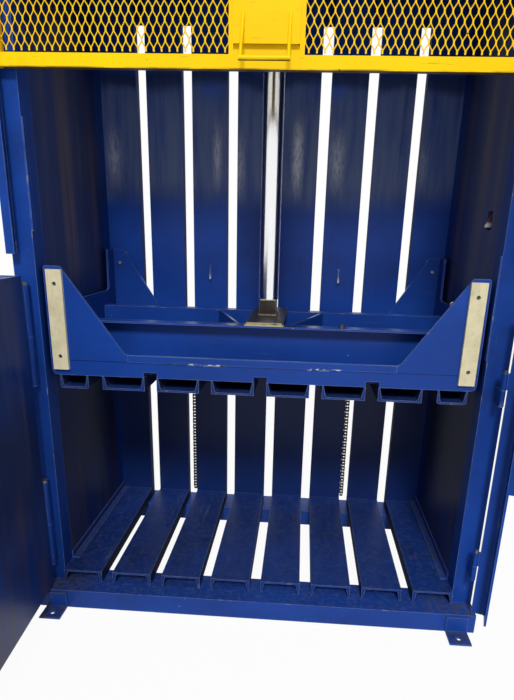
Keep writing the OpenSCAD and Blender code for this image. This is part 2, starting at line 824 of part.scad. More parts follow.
// A push button whose stem runs through the box door and its bezel
module push_button(z, head_d, head_h, proud) {
    translate([button_x, door_face - proud, z]) rotate([90, 0, 0]) {
        cylinder(d = head_d, h = head_h, $fn = 48);
        translate([0, 0, -proud - 24]) cylinder(d = stem_d, h = proud + 24, $fn = 48);
    }
}

module emergency_stop() color(red) push_button(stop_z, 42, 14, bezel_h + 10);
module start_button() color(green) push_button(start_z, 28, 5, bezel_h + 5);
module return_button() color(dark) push_button(return_z, 28, 5, bezel_h + 5);

module mode_selector() color(dark) {
    push_button(select_z, 28, 4, bezel_h + 0.5);
    block([button_x - 4, button_x + 4], [door_face - bezel_h - 16, door_face - bezel_h - 4],
        [select_z - 13, select_z + 13]);
}

// Platen end plates: low in the middle, with a wing at each side
module end_plate_outline(wing_h) {
    r = plate_corner_r;
    difference() {
        polygon(concat(
            [for (a = [180 : 15 : 270]) [-platen_half_w + r + r * cos(a), r + r * sin(a)]],
            [for (a = [270 : 15 : 360]) [platen_half_w - r + r * cos(a), r + r * sin(a)]],
            [[platen_half_w, wing_h - 5], [platen_half_w - 5, wing_h],
                [platen_half_w - wing_top_w, wing_h],
                [platen_half_w - wing_foot_w, front_plate_h + 6],
                [platen_half_w - wing_foot_w - 8, front_plate_h],
                [-platen_half_w + wing_foot_w + 8, front_plate_h],
                [-platen_half_w + wing_foot_w, front_plate_h + 6],
                [-platen_half_w + wing_top_w, wing_h], [-platen_half_w + 5, wing_h],
                [-platen_half_w, wing_h - 5]]));
        for (i = [-1 : 1]) translate([2 * i * pitch - notch_w / 2, -1]) square([notch_w, notch_h + 1]);
    }
}

wear_x = platen_half_w - wear_edge - wear_w / 2;
function wear_z(wing_h) = plate_z + wing_h - wear_top_gap - wear_l / 2;

module end_plate(wing_h) {
    difference() {
        translate([0, -platen_half_d + end_t, plate_z]) rotate([90, 0, 0])
            linear_extrude(end_t) end_plate_outline(wing_h);
        both_sides() for (s = [-1, 1])
            translate([wear_x, -platen_half_d - 1, wear_z(wing_h) + s * wear_pitch / 2])
                rotate([-90, 0, 0]) cylinder(d = screw_d + 1, h = end_t + 2, $fn = 32);
    }
}

bar_half = platen_half_w - wing_foot_w - 12;
module platen_front_plate() color(blue) {
    end_plate(front_wing_h);
    block([-bar_half, bar_half], [-platen_half_d - 4, -platen_half_d],
        [plate_z + front_plate_h - edge_bar_h, plate_z + front_plate_h]);
}

module platen_rear_plate() color(blue) mirror([0, 1, 0]) end_plate(rear_wing_h);

module platen_side_plates() color(blue) both_sides() translate([rail_end, 0, deck_z])
    rotate([90, 0, 90]) linear_extrude(side_plate_t) polygon([
        [-platen_half_d + end_t, 0], [platen_half_d - end_t, 0],
        [platen_half_d - end_t, rear_wing_h - 5], [platen_half_d - side_leg_w, rear_wing_h - 5],
        [platen_half_d - side_leg_w - 6, side_plate_h + 8],
        [platen_half_d - side_leg_w - 30, side_plate_h],
        [-platen_half_d + side_leg_w + 30, side_plate_h],
        [-platen_half_d + side_leg_w, front_wing_h - 12],
        [-platen_half_d + end_t, front_wing_h - 12]]);

module platen_floor_plate() color(blue) difference() {
    block([-rail_end - side_plate_t, rail_end + side_plate_t],
        [-platen_half_d + end_t, platen_half_d - end_t], [plate_z, deck_z]);
    front_and_rear() for (i = [-1 : 1]) translate([2 * i * pitch, -platen_half_d + end_t, 0])
        block([-notch_w / 2, notch_w / 2], [-1, notch_depth], [plate_z - 1, deck_z + 1]);
}

module platen_rails() color(blue) front_and_rear()
    translate([-rail_end, -rail_y + rail_web, deck_z + rail_h / 2]) rotate([90, 0, 90])
        linear_extrude(2 * rail_end) rotate(90)
            channel_section(rail_h, rail_flange + rail_web, rail_web, rail_flange_t, rail_flange_t - 2);

// Slanting plates between the two cross rails
module platen_gussets() color(blue) both_sides() {
    run = gusset_rear_x - gusset_front_x;
    translate([0, 0, deck_z]) linear_extrude(rail_h - 1) polygon([
        [gusset_front_x, -rail_y + rail_web], [gusset_front_x + gusset_t, -rail_y + rail_web],
        [gusset_front_x + run + gusset_t, rail_y - rail_web], [gusset_front_x + run, rail_y - rail_web]]);
}

module platen_channels() color(blue) {
    for (i = [1 : channel_n - 2]) translate([channel_x(i), platen_half_d, platen_z])
        rotate([90, 0, 0]) linear_extrude(2 * platen_half_d) standard_channel(channel_w);
    both_sides() translate([channel_x(channel_n - 1) - channel_w / 2 + end_channel_w / 2 + 8,
        platen_half_d, platen_z]) rotate([90, 0, 0]) linear_extrude(2 * platen_half_d)
            end_channel_section();
}

// The outer channels have rounded outer corners
module end_channel_section() {
    w = end_channel_w;
    r = 8;
    polygon(concat([[-w / 2, channel_h]],
        [for (a = [180 : 30 : 270]) [-w / 2 + r + r * cos(a), r + r * sin(a)]],
        [for (a = [270 : 30 : 360]) [w / 2 - r + r * cos(a), r + r * sin(a)]],
        [[w / 2, channel_h]],
        channel_inside(w, channel_h, channel_web, flange_root - 2, flange_toe, flange_fillet)));
}

module wear_strip(wing_h) {
    difference() {
        block([wear_x - wear_w / 2, wear_x + wear_w / 2], [-platen_half_d - wear_t, -platen_half_d],
            [wear_z(wing_h) - wear_l / 2, wear_z(wing_h) + wear_l / 2]);
        for (s = [-1, 1]) translate([wear_x, -platen_half_d - wear_t - 1, wear_z(wing_h) + s * wear_pitch / 2])
            rotate([-90, 0, 0]) {
                cylinder(d = screw_d + 1, h = wear_t + 2, $fn = 32);
                translate([0, 0, -1]) cylinder(d = screw_head_d, h = screw_sink + 2, $fn = 32);
                translate([0, 0, screw_sink + 1]) cylinder(d1 = screw_head_d, d2 = screw_d,
                    h = screw_head_h, $fn = 32);
            }
    }
}

module wear_strips() color(cream) both_sides() {
    wear_strip(front_wing_h);
    mirror([0, 1, 0]) wear_strip(rear_wing_h);
}

// A countersunk screw with its nut behind the plate
module wear_screw(wing_h) {
    for (s = [-1, 1]) translate([wear_x, -platen_half_d - wear_t + screw_sink,
        wear_z(wing_h) + s * wear_pitch / 2]) rotate([-90, 0, 0]) {
            cylinder(d1 = screw_head_d - 1, d2 = screw_d - 1, h = screw_head_h, $fn = 32);
            cylinder(d = screw_d - 1, h = wear_t - screw_sink + end_t + nut_h + screw_rest, $fn = 32);
            translate([0, 0, wear_t - screw_sink + end_t]) cylinder(d = nut_d, h = nut_h, $fn = 6);
        }
}

// A hex bolt, head down to its seat at z = 0
module hex_bolt(d, head_d, head_h) {
    cylinder(d = head_d, h = head_h, $fn = 6);
    translate([0, 0, head_h]) cylinder(d = d, h = head_h * 0.6, $fn = 24);
}

// An eye of round bar that straddles the upper edge of a side plate
eye_d = 7;
eye_y = 65;
eye_leg = 12;
eye_rise = 8;
module side_plate_eye() {
    reach = side_plate_t / 2 + eye_d / 2 - 0.1;
    edge_z = deck_z + side_plate_h;
    difference() {
        translate([rail_end + side_plate_t / 2, eye_y, edge_z]) {
            for (s = [-1, 1]) translate([s * reach, 0, -eye_leg])
                cylinder(d = eye_d, h = eye_leg + eye_rise, $fn = 24);
            translate([0, 0, eye_rise]) rotate([90, 0, 0]) rotate_extrude(angle = 180, $fn = 48)
                translate([reach, 0]) circle(d = eye_d, $fn = 24);
        }
        block([rail_end, rail_end + side_plate_t], [eye_y - eye_d, eye_y + eye_d],
            [edge_z - 2 * eye_leg, edge_z]);
    }
}

rail_bolt_x = 282;
module platen_fasteners() color(steel) {
    both_sides() {
        wear_screw(front_wing_h);
        mirror([0, 1, 0]) wear_screw(rear_wing_h);
    }
    translate([rail_bolt_x, -rail_front + 18, rail_top]) hex_bolt(12, 22, 10);
    side_plate_eye();
}

// What joins the rod to the platen
module rod_plates() color(dark) {
    block([-rod_plate_w / 2, rod_plate_w / 2], [-rod_plate_l / 2, rod_plate_l / 2],
        [rail_top, rail_top + rod_plate_t]);
    block([-rod_plate_w / 2 + plate_step, rod_plate_w / 2 - plate_step],
        [-rod_plate_l / 2 + plate_step, rod_plate_l / 2 - plate_step],
        [rail_top + rod_plate_t, block_z]);
}

// Face of the rod's block, w wide, with its upper edges broken
module block_face(w) {
    polygon([[-w / 2, 0], [w / 2, 0], [w / 2, rod_block_h - block_edge],
        [w / 2 - block_edge, rod_block_h], [block_edge - w / 2, rod_block_h],
        [-w / 2, rod_block_h - block_edge]]);
}

module rod_block() color(dark) difference() {
    translate([0, 0, block_z]) intersection() {
        rotate([90, 0, 0]) linear_extrude(rod_block_l, center = true) block_face(rod_block_w);
        rotate([90, 0, 90]) linear_extrude(rod_block_w, center = true) block_face(rod_block_l);
    }
    translate([0, 0, block_top - rod_seat]) cylinder(d = rod_stub_d, h = rod_seat + 1, $fn = 96);
}

// The rod's foot is turned down to a stub that sits in the block
module piston_rod() color(chrome) {
    translate([0, 0, block_top - rod_seat]) cylinder(d = rod_stub_d, h = rod_seat, $fn = 96);
    translate([0, 0, block_top]) cylinder(d = rod_d, h = piston_z - block_top, $fn = 96);
}

module piston() color(dark) translate([0, 0, piston_z])
    cylinder(d = bore_d - 2 * running, h = piston_h, $fn = 96);

// Gate
module gate_frame() color(yellow) {
    for (z = [gate_z, gate_z + gate_h - gate_tube])
        rect_tube([-gate_inner_x, gate_inner_x], [gate_front, gate_back], [z, z + gate_tube], 0,
            gate_wall);
    both_sides() rect_tube([gate_inner_x, gate_half_w], [gate_front, gate_back],
        [gate_z, gate_z + gate_h], 2, gate_wall);
}

// One opening of the expanded metal
module mesh_hole() {
    half_short = mesh_short / 2 - mesh_strand * 0.62;
    half_long = mesh_long / 2 - mesh_strand * 1.5;
    polygon([[-half_short, 0], [0, -half_long], [half_short, 0], [0, half_long]]);
}

// Rows of openings, each row half a pitch beside the last, that fit a panel of w by h
module mesh_panel(w, h) {
    columns = floor((w - 8) / mesh_short - 0.5);
    rows = floor((h - 8) / (mesh_long / 2) - 1);
    left = (w - (columns + 0.5) * mesh_short) / 2;
    foot = (h - (rows + 1) * mesh_long / 2) / 2;
    difference() {
        square([w, h]);
        for (j = [0 : rows - 1]) for (i = [0 : columns - 1])
            translate([left + (i + 0.5 + (j % 2) / 2) * mesh_short, foot + (j + 1) * mesh_long / 2])
                mesh_hole();
    }
}

module gate_mesh() color(yellow) both_sides()
    translate([middle_w / 2, mesh_y + mesh_t, gate_z + gate_tube]) rotate([90, 0, 0])
        linear_extrude(mesh_t) mesh_panel(gate_inner_x - middle_w / 2, gate_h - 2 * gate_tube);

middle_y = gate_front + 2;
box_face = middle_y - gate_box_d;
gate_box_top = gate_z + gate_h - gate_tube - 90;
module gate_panel() color(yellow) {
    block([-middle_w / 2, middle_w / 2], [middle_y, mesh_y + mesh_t],
        [gate_z + gate_tube, gate_z + gate_h - gate_tube]);
    difference() {
        block([-gate_box_w / 2, gate_box_w / 2], [box_face, middle_y],
            [gate_z + box_foot, gate_box_top]);
        block([-gate_box_w / 2 + 3, gate_box_w / 2 - 3], [box_face + 3, middle_y + 1],
            [gate_z + box_foot - 1, gate_box_top - 3]);
    }
}

// The pull handle: two round legs lean out from the box to a level grip
handle_drop = handle_foot_z - handle_grip_z;
handle_lean = atan2(handle_reach, handle_drop);
handle_run = norm([handle_reach, handle_drop]);
handle_leg_x = handle_l / 2 - handle_end;
module gate_handle() color(yellow) difference() {
    translate([0, box_face, gate_z + handle_foot_z]) rotate([-handle_lean, 0, 0]) {
        both_sides() translate([handle_leg_x, 0, -handle_run])
            cylinder(d = handle_leg_d, h = handle_run + handle_leg_d, $fn = 24);
        translate([-handle_l / 2, 0, -handle_run]) rotate([0, 90, 0])
            cylinder(d = handle_d, h = handle_l, $fn = 24);
    }
    block([-gate_box_w, gate_box_w], [box_face, box_face + gate_box_w],
        [gate_z, gate_z + gate_h]);
}

// Plastic pads at the gate's corners that run in the tracks
pad_gap = 0.4;
pad_h = 60;
module gate_pads() color(cream) both_sides() for (z = [gate_z + 8, gate_z + gate_h - pad_h - 8]) {
    block([gate_half_w - 18, gate_half_w], [track_front + pad_gap, gate_front], [z, z + pad_h]);
    block([gate_half_w, track_web_x - pad_gap], [gate_front + 6, gate_back - 6], [z, z + pad_h]);
    block([track_web_x - track_back_lip, gate_half_w], [gate_back, front_y - track_t - pad_gap],
        [z, z + pad_h]);
}

// Puts a door piece, modelled shut with the hinge axis at the origin, where it stands open
module on_door() translate([-door_hinge_x, door_axis_y, 0]) rotate(-door_open) children();

module door_plate() color(navy) on_door()
    block([door_edge, door_right], [door_inner - door_plate_t, door_inner], [door_z, door_top]);

// Ribs of the door
door_rib_n = 5;
ear_t = 10;
ear_gap = 22;
eye_pin_d = 14;
bolt_z = lug_z + lug_h / 2;
bolt_y = latch_axis_y - latch_reach - lug_w / 2 - 4 - door_axis_y;
bolt_x = door_hinge_x + latch_x + latch_t - latch_hook - 108;
module door_frame() color(blue) on_door() {
    back = door_inner - door_plate_t;
    for (z = [door_z, door_top - 51]) rect_tube([door_edge + 51, door_right - 51], [door_front, back],
        [z, z + 51], 0, 5);
    for (x = [door_edge, door_right - 51]) rect_tube([x, x + 51], [door_front, back],
        [door_z, door_top], 2, 5);
    for (i = [1 : door_rib_n]) {
        z = door_z + 51 + i * (door_h - 102) / (door_rib_n + 1);
        rect_tube([door_edge + 51, door_right - 51], [door_front, back], [z - 25, z + 25], 0, 5);
    }
    block([door_right - 50, door_right], [door_front - keeper_d, door_front], [door_z, door_top]);
}

// The swing bolt lies folded along the door, its eye and pin between the ears
module swing_bolt() color(steel) on_door() translate([bolt_x, bolt_y, bolt_z]) {
    translate([0, 0, -ear_gap / 2 + bush_gap])
        cylinder(d = 34, h = ear_gap - 2 * bush_gap, $fn = 48);
    translate([0, 0, -ear_gap / 2 - ear_t]) cylinder(d = eye_pin_d, h = ear_gap + 2 * ear_t, $fn = 48);
    translate([0, 0, ear_gap / 2 + ear_t + bush_gap]) cylinder(d = 22, h = 6, $fn = 48);
    translate([0, 0, ear_gap / 2 + ear_t - 1]) cylinder(d = eye_pin_d, h = 3, $fn = 48);
    translate([-14, 0, 0]) rotate([0, -90, 0]) cylinder(d = bolt_d, h = bolt_l - 14, $fn = 48);
}

// A hand nut with two turning bars, which tightens the swing bolt against the slotted plate
nut_start = 118;
nut_l = 34;
nut_bar = 44;
module hand_nut() color(steel) on_door() translate([bolt_x - nut_start, bolt_y, bolt_z])
    rotate([0, -90, 0]) difference() {
        union() {
            cylinder(d = 36, h = nut_l, $fn = 48);
            translate([0, 0, nut_l / 2]) rotate([0, 90, 0])
                cylinder(d = 12, h = 2 * nut_bar, center = true, $fn = 24);
        }
        translate([0, 0, -1]) cylinder(d = bolt_d + 2 * running, h = nut_l + 2, $fn = 48);
    }

// One half of a hinge: a barrel with a neck to what carries it
module knuckle(d, l, bore, neck) {
    difference() {
        union() {
            cylinder(d = d, h = l, $fn = 48);
            translate([0, neck[0], 0]) cube([neck[2], neck[1] - neck[0], l]);
        }
        translate([0, 0, -1]) cylinder(d = bore + 2 * running, h = l + 2, $fn = 48);
    }
}

// The door's half of the hinges, and the ears that the swing bolt pivots on
module door_knuckles() color(blue) on_door() {
    for (z = [low_barrel_z, high_barrel_z]) translate([0, 0, z + barrel_l / 2 + bush_gap])
        knuckle(barrel_d, barrel_l / 2 - bush_gap, pin_d, [-10, door_inner, door_edge]);
    for (z = [bolt_z - ear_gap / 2 - ear_t, bolt_z + ear_gap / 2]) translate([0, 0, z])
        linear_extrude(ear_t) difference() {
            polygon([[bolt_x - 45, door_front], [bolt_x + 32, door_front], [bolt_x + 18, bolt_y - 12],
                [bolt_x + 12, bolt_y - 18], [bolt_x - 12, bolt_y - 18], [bolt_x - 18, bolt_y - 12]]);
            translate([bolt_x, bolt_y]) circle(d = eye_pin_d + 2 * running, $fn = 48);
        }
}

// Fixed halves of the door hinges and of the latch hinges, on the front posts
module post_knuckles() color(blue) {
    for (z = [low_barrel_z, high_barrel_z]) translate([-door_hinge_x, door_axis_y, z])
        rotate(90) knuckle(barrel_d, barrel_l / 2, pin_d, [-9, 9, door_hinge_y]);
    for (z = [low_knuckle_z, high_knuckle_z]) translate([latch_x, latch_axis_y, z])
        rotate(90) knuckle(knuckle_d, knuckle_l / 2, latch_pin_d, [-7, 7, latch_y]);
}

// Pins with a head on top and a washer below
module pin(d, l) {
    cylinder(d = d, h = l, $fn = 48);
    translate([0, 0, l]) cylinder(d = d * 1.5, h = pin_head_h, $fn = 48);
}

module hinge_pins() color(steel) {
    for (z = [low_barrel_z, high_barrel_z]) translate([-door_hinge_x, door_axis_y, z])
        pin(pin_d, barrel_l + bush_gap);
    for (z = [low_knuckle_z, high_knuckle_z]) translate([latch_x, latch_axis_y, z])
        pin(latch_pin_d, knuckle_l + bush_gap);
}

// Puts a latch piece, modelled along x with its axis at the origin, where it hangs open
module on_latch() translate([latch_x, latch_axis_y, 0]) rotate(-latch_open) children();

// The plate on the latch bar, with an open slot that takes the swing bolt
module lug_outline() difference() {
    polygon([[0, 0], [lug_w - 20, 0], [lug_w, 20], [lug_w, lug_h - 20], [lug_w - 20, lug_h],
        [0, lug_h]]);
    translate([lug_w / 2 - 8, lug_h / 2]) circle(d = bolt_d + 4, $fn = 48);
    translate([lug_w / 2 - 8, lug_h / 2 - bolt_d / 2 - 2]) square([lug_w, bolt_d + 4]);
}

module latch_bar() color(blue) on_latch() {
    translate([0, 0, latch_z]) linear_extrude(latch_l) polygon([
        [latch_start, 0], [latch_reach - latch_t - 4, 0], [latch_reach - latch_t, -4],
        [latch_reach - latch_t, latch_t - latch_hook], [latch_reach, latch_t - latch_hook],
        [latch_reach, latch_t - 6], [latch_reach - 6, latch_t], [latch_start, latch_t]]);
    translate([latch_reach, latch_t - latch_hook, lug_z]) rotate([90, 0, 0]) mirror([0, 0, 1])
        linear_extrude(latch_t) lug_outline();
    for (z = [low_knuckle_z, high_knuckle_z]) translate([0, 0, z + knuckle_l / 2 + bush_gap])
        knuckle(knuckle_d, knuckle_l / 2 - bush_gap, latch_pin_d, [0, latch_t, latch_start]);
}

base_beams();
anchor_feet();
floor_channels();
floor_angles();
front_posts();
rear_posts();
side_walls();
side_ribs();
rear_wall_channels();
rear_rails();
rear_pegs();
top_rails();
crosshead();
top_plates();
header_panel();
gate_tracks();
dog_box();
dog_finger();
ejector_chains();
cylinder_barrel();
cylinder_gland();
oil_tank();
drive_motor();
gear_pump();
valve_block();
oil_filter();
hydraulic_pipes();
control_box();
box_hinges();
control_door();
emergency_stop();
start_button();
return_button();
mode_selector();
platen_front_plate();
platen_rear_plate();
platen_side_plates();
platen_floor_plate();
platen_rails();
platen_gussets();
platen_channels();
wear_strips();
platen_fasteners();
rod_plates();
rod_block();
piston_rod();
piston();
gate_frame();
gate_mesh();
gate_panel();
gate_handle();
gate_pads();
door_plate();
door_frame();
door_knuckles();
post_knuckles();
hinge_pins();
latch_bar();
swing_bolt();
hand_nut();
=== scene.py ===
"""Looks of the recycling baler: camera, light, materials, and the pieces finer than the solids."""

import math

import bpy
from mathutils import Matrix, Vector


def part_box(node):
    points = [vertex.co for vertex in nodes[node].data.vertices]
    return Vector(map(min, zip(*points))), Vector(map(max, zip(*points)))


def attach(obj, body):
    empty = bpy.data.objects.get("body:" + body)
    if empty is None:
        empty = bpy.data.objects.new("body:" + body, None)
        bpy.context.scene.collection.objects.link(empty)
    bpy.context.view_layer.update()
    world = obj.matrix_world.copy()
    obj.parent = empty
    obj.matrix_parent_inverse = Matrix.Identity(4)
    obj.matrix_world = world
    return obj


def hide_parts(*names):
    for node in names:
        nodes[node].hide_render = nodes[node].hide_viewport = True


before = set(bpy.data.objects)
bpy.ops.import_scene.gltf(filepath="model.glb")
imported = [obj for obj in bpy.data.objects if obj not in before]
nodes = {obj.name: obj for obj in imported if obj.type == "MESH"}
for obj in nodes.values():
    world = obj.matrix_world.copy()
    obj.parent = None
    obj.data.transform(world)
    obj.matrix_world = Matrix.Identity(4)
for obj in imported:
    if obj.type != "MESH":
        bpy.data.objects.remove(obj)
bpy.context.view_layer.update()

# Metres to millimetres, the unit of every piece built here
MM = 1000


# Camera, solved from straight edges of the frame; lens and shifts are in pixels of the photograph

PHOTO_HEIGHT = 700
FOCAL_LENGTH = 558.72
SHIFT_X, SHIFT_Y = -10.38, 65.34
SENSOR_HEIGHT = 36
CAMERA_AT = (0.1352, -2.2624, 1.4133)
YAW, PITCH, ROLL = -0.05581, -0.31332, 0.02786


def place_camera():
    """The photograph's camera: it looks along y, turned by yaw, pitch and roll in radians."""
    forward = Vector((math.sin(YAW) * math.cos(PITCH), math.cos(YAW) * math.cos(PITCH),
                      math.sin(PITCH)))
    right = Vector((math.cos(YAW), -math.sin(YAW), 0))
    up = right.cross(forward)
    across = right * math.cos(ROLL) + up * math.sin(ROLL)
    upward = up * math.cos(ROLL) - right * math.sin(ROLL)
    data = bpy.data.cameras.new("camera")
    data.sensor_fit = "VERTICAL"
    data.sensor_height = SENSOR_HEIGHT
    data.lens = FOCAL_LENGTH * SENSOR_HEIGHT / PHOTO_HEIGHT
    data.shift_x = SHIFT_X / PHOTO_HEIGHT
    data.shift_y = SHIFT_Y / PHOTO_HEIGHT
    data.clip_start = 0.05
    data.clip_end = 100
    cam = bpy.data.objects.new("camera", data)
    turn = Matrix((across, upward, -forward)).transposed().to_4x4()
    cam.matrix_world = Matrix.Translation(CAMERA_AT) @ turn
    bpy.context.scene.collection.objects.link(cam)
    bpy.context.scene.camera = cam


# Light

AMBIENT = 0.5
KEY_AZIMUTH, KEY_ELEVATION, KEY_STRENGTH, KEY_SPREAD = 3, 40, 2.15, 12


def sun(name, azimuth, elevation, strength, spread):
    """A distant lamp. Azimuth 0 shines from the front, 90 from the right; spread is its width."""
    data = bpy.data.lights.new(name, "SUN")
    data.energy = strength
    data.angle = math.radians(spread)
    lamp = bpy.data.objects.new(name, data)
    lamp.rotation_euler = (math.radians(90 - elevation), 0, math.radians(azimuth))
    bpy.context.scene.collection.objects.link(lamp)


def seen_directly(tree):
    """1 for what the camera, gloss and glass see, 0 for what lights the object."""
    path = tree.nodes.new("ShaderNodeLightPath")
    seen = path.outputs["Is Camera Ray"]
    for ray in ("Is Glossy Ray", "Is Transmission Ray"):
        either = tree.nodes.new("ShaderNodeMath")
        either.operation = "MAXIMUM"
        tree.links.new(seen, either.inputs[0])
        tree.links.new(path.outputs[ray], either.inputs[1])
        seen = either.outputs[0]
    return seen


def light_world(ambient):
    """White for what the camera, gloss and glass see, and an even dim light for the rest."""
    world = bpy.data.worlds.new("studio")
    bpy.context.scene.world = world
    world.use_nodes = True
    tree = world.node_tree
    tree.nodes.clear()
    level = tree.nodes.new("ShaderNodeMapRange")
    tree.links.new(seen_directly(tree), level.inputs["Value"])
    level.inputs["To Min"].default_value = ambient
    level.inputs["To Max"].default_value = 1
    back = tree.nodes.new("ShaderNodeBackground")
    back.inputs["Color"].default_value = (1, 1, 1, 1)
    tree.links.new(level.outputs["Result"], back.inputs["Strength"])
    out = tree.nodes.new("ShaderNodeOutputWorld")
    tree.links.new(back.outputs[0], out.inputs["Surface"])


# Material helpers

def srgb(r, g, b):
    """A colour as it looks on screen, 0 to 255, in linear light."""
    def channel(v):
        v /= 255
        return v / 12.92 if v <= 0.04045 else ((v + 0.055) / 1.055) ** 2.4
    return (channel(r), channel(g), channel(b), 1)


class Shader:
    """One procedural material. Its coordinates are the part's own, in metres."""

    def __init__(self, name):
        self.material = bpy.data.materials.new(name)
        self.material.use_nodes = True
        self.tree = self.material.node_tree
        self.tree.nodes.clear()
        out = self.node("ShaderNodeOutputMaterial")
        self.bsdf = self.node("ShaderNodeBsdfPrincipled")
        self.tree.links.new(self.bsdf.outputs[0], out.inputs["Surface"])
        coordinates = self.node("ShaderNodeTexCoord")
        self.place = coordinates.outputs["Object"]
        self.own_normal = coordinates.outputs["Normal"]
        self.geometry = self.node("ShaderNodeNewGeometry")
        self.x, self.y, self.z = self.split(self.place)
        self.nx, self.ny, self.nz = self.split(self.geometry.outputs["True Normal"])

    def node(self, kind, **settings):
        made = self.tree.nodes.new(kind)
        for key, value in settings.items():
            setattr(made, key, value)
        return made

    def link(self, source, socket):
        """Sets the socket to a number or colour, or links another node's output to it."""
        if isinstance(source, bpy.types.NodeSocket):
            self.tree.links.new(source, socket)
        else:
            socket.default_value = source

    def split(self, vector):
        made = self.node("ShaderNodeSeparateXYZ")
        self.link(vector, made.inputs[0])
        return made.outputs

    def math(self, operation, a, b=0.0, clamp=False):
        made = self.node("ShaderNodeMath", operation=operation, use_clamp=clamp)
        self.link(a, made.inputs[0])
        if len(made.inputs) > 1:
            self.link(b, made.inputs[1])
        return made.outputs[0]

    def plus(self, a, b):
        return self.math("ADD", a, b)

    def size(self, value):
        return self.math("ABSOLUTE", value)

    def centred(self, noise):
        """A noise of 0 to 1, moved to lie about 0."""
        return self.math("SUBTRACT", noise, 0.5)

    def away(self, value, at):
        """How far a coordinate lies from a place, on either side."""
        return self.size(self.math("SUBTRACT", value, at))

    def times(self, *factors):
        result = factors[0]
        for factor in factors[1:]:
            result = self.math("MULTIPLY", result, factor)
        return result

    def most(self, *values):
        result = values[0]
        for value in values[1:]:
            result = self.math("MAXIMUM", result, value)
        return result

    def inverse(self, value):
        return self.math("SUBTRACT", 1.0, value, clamp=True)

    def rise(self, value, low, high):
        """0 below low, 1 above high, smooth between; low above high makes it fall."""
        made = self.node("ShaderNodeMapRange", interpolation_type="SMOOTHSTEP")
        self.link(value, made.inputs["Value"])
        made.inputs["From Min"].default_value = min(low, high)
        made.inputs["From Max"].default_value = max(low, high)
        if low >= high:
            made.inputs["To Min"].default_value = 1
            made.inputs["To Max"].default_value = 0
        return made.outputs["Result"]

    def band(self, value, low, high, soft):
        """1 between low and high, with soft ends."""
        return self.times(self.rise(value, low - soft, low + soft),
                          self.rise(value, high + soft, high - soft))

    def scaled(self, stretch, shift=0.0):
        made = self.node("ShaderNodeMapping")
        self.link(self.place, made.inputs["Vector"])
        made.inputs["Scale"].default_value = stretch
        made.inputs["Location"].default_value = (shift, shift * 0.7, shift * 1.3)
        return made.outputs[0]

    def noise(self, scale, detail=4.0, rough=0.55, stretch=(1, 1, 1), shift=0.0):
        made = self.node("ShaderNodeTexNoise")
        self.link(self.scaled(stretch, shift), made.inputs["Vector"])
        made.inputs["Scale"].default_value = scale
        made.inputs["Detail"].default_value = detail
        made.inputs["Roughness"].default_value = rough
        return made.outputs["Fac"]

    def dots(self, scale, shift, outer, inner):
        """Round spots: 0 outside the outer radius, 1 inside the inner one, in cells."""
        made = self.node("ShaderNodeTexVoronoi", feature="F1")
        self.link(self.scaled((1, 1, 1), shift), made.inputs["Vector"])
        made.inputs["Scale"].default_value = scale
        return self.rise(made.outputs["Distance"], outer, inner)

    def mix(self, share, a, b):
        """Colour a, with a share of colour b."""
        made = self.node("ShaderNodeMix", data_type="RGBA")
        self.link(share, made.inputs[0])
        self.link(a, made.inputs[6])
        self.link(b, made.inputs[7])
        return made.outputs[2]

    def blend(self, share, a, b):
        """Number a, with a share of number b."""
        made = self.node("ShaderNodeMix", data_type="FLOAT")
        self.link(share, made.inputs[0])
        self.link(a, made.inputs[2])
        self.link(b, made.inputs[3])
        return made.outputs[0]

    def edges(self, radius, low=0.0, high=0.16):
        """Near 1 where the surface turns a corner within the radius."""
        bevel = self.node("ShaderNodeBevel", samples=4)
        bevel.inputs["Radius"].default_value = radius
        dot = self.node("ShaderNodeVectorMath", operation="DOT_PRODUCT")
        self.link(bevel.outputs[0], dot.inputs[0])
        self.link(self.geometry.outputs["Normal"], dot.inputs[1])
        return self.rise(self.inverse(dot.outputs["Value"]), low, high)

    def bump(self, height, distance):
        made = self.node("ShaderNodeBump")
        made.inputs["Strength"].default_value = 1
        made.inputs["Distance"].default_value = distance
        self.link(height, made.inputs["Height"])
        self.tree.links.new(made.outputs[0], self.bsdf.inputs["Normal"])

    def finish(self, colour, rough, metal=0.0, specular=0.5):
        self.link(colour, self.bsdf.inputs["Base Color"])
        self.link(rough, self.bsdf.inputs["Roughness"])
        self.link(metal, self.bsdf.inputs["Metallic"])
        self.bsdf.inputs["Specular IOR Level"].default_value = specular
        return self.material


# Colours of paint

BLUE = srgb(23, 64, 148)
BLUE_DEEP = srgb(18, 52, 124)
NAVY = srgb(17, 41, 98)
PLATEN_BLUE, PLATEN_BLUE_DEEP = srgb(24, 68, 156), srgb(19, 56, 134)
# The rear wall's blue is the frame's paint made lighter, as painted light
REAR_BLUE_LIT, REAR_BLUE_LIT_DEEP = srgb(25, 72, 168), srgb(20, 58, 138)
DOOR_BLUE = srgb(25, 70, 160)
YELLOW, YELLOW_WARM = srgb(255, 215, 0), srgb(250, 199, 0)

# Colours of wear, and of painted light and shade

PRIMER = srgb(140, 146, 158)
RUST = srgb(96, 60, 38)
DUST = srgb(112, 112, 118)
GRIME = srgb(22, 24, 34)
SCUFF = srgb(84, 100, 140)
SCRAPE = srgb(120, 130, 156)
RIM_HIGHLIGHT = srgb(104, 130, 188)
